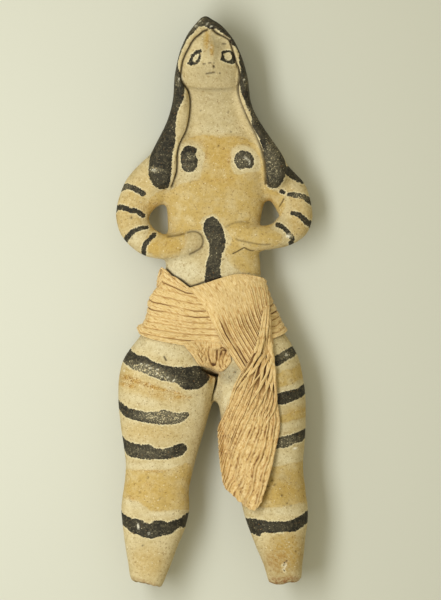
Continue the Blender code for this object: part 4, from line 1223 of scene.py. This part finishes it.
def linenMaterial():
    # Aged plain-weave linen of hand-spun flax: matt, straw to honey, browner in the folds with painted shade
    # and dirt
    material, tree, shader = newMaterial("aged_linen")
    flat = addNode(tree, "UVMap", uv_map="cloth")
    field = {"foldShadeAndDirt": addNode(tree, "Attribute", out="Fac", attribute_name="foldShadeAndDirt")}
    # the darkest brown is painted shade deep in the folds and creases
    field["deep"] = addNode(tree, "MapRange", {"Value": field["foldShadeAndDirt"], "From Min": 0.4})
    cloud = {}
    for name, (size, detail, drawn) in linenClouds.items():
        drawnOut = addNode(tree, "Mapping", {"Vector": flat, "Scale": drawn})
        cloud[name] = addNode(tree, "TexNoise", {"Vector": drawnOut, "Scale": 1 / size, "Detail": detail,
                                                 "Roughness": 0.6}, "Fac")
    colour = layFinishes(tree, hexColour("CFB074"), linenFinishes, field, cloud)
    tree.links.new(colour, shader.inputs["Base Color"])
    shader.inputs["Roughness"].default_value = 0.92
    shader.inputs["Sheen Weight"].default_value = 0.08
    height = addNode(tree, "Math", {0: cloud["weft"], 1: 0.5, 2: cloud["yarn"]}, operation="MULTIPLY_ADD")
    relief = addNode(tree, "Bump", {"Height": height, "Strength": 0.6, "Distance": 0.24 * mm})
    tree.links.new(relief, shader.inputs["Normal"])
    return material


woven = linenMaterial()
for cloth, flat in zip(makeLinen(body.data), (linen["wrapFlat"], linen["endFlat"])):
    cloth.data.materials.clear()
    cloth.data.materials.append(woven)
    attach(cloth, "root")
    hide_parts("linen_loincloth")
    print(cloth.name, "area", sum(face.area for face in cloth.data.polygons) / 2, "flat", flat)


# Stage: floor, light, camera

stage = {
    "floor": "CDCCBA",
    "cameraHeight": 5.0,
    "frameHeight": 600 * photo["pixel"],
    "figureMiddle": 13 * mm,
    "room": "FAF5DC",           # light from all round, and how strong it is
    "roomStrength": 0.52,
}
# Lamps: place, length and width, power and tint
lamps = {
    "window": ((-0.20, -0.02, 0.38), 0.5, 0.14, 1.7, "F4F8FF"),
    "wall": ((0.0, 0.8, 0.8), 1.0, 1.0, 1.2, "FFFBEA"),
}


def makeStage():
    bm = bmesh.new()
    bmesh.ops.create_grid(bm, x_segments=2, y_segments=2, size=2.0)
    floor = newPiece("floor", bm)
    # Board rolled with matt emulsion: pale, even and dull
    material, tree, shader = newMaterial("painted_board")
    shader.inputs["Base Color"].default_value = hexColour(stage["floor"])
    shader.inputs["Roughness"].default_value = 0.9
    floor.data.materials.append(material)

    camera = bpy.data.cameras.new("camera")
    away = stage["cameraHeight"] - stage["figureMiddle"]
    camera.lens = camera.sensor_width * away / stage["frameHeight"]
    eye = bpy.data.objects.new("camera", camera)
    x, y = place(220.5, 300)
    eye.location = (x, y, stage["cameraHeight"])
    bpy.context.scene.collection.objects.link(eye)
    bpy.context.scene.camera = eye

    for name, (spot, length, width, power, tint) in lamps.items():
        lamp = bpy.data.lights.new(name, "AREA")
        lamp.shape = "RECTANGLE"
        lamp.size = length
        lamp.size_y = width
        lamp.energy = power
        lamp.color = hexColour(tint)[:3]
        light = bpy.data.objects.new(name, lamp)
        light.location = spot
        light.rotation_euler = (-Vector(spot)).to_track_quat("-Z", "Y").to_euler()
        bpy.context.scene.collection.objects.link(light)

    world = bpy.data.worlds.new("room")
    world.use_nodes = True
    sky = world.node_tree.nodes["Background"]
    sky.inputs["Color"].default_value = hexColour(stage["room"])
    sky.inputs["Strength"].default_value = stage["roomStrength"]
    bpy.context.scene.world = world
    bpy.context.scene.view_settings.view_transform = "Standard"


makeStage()
print("stage done")
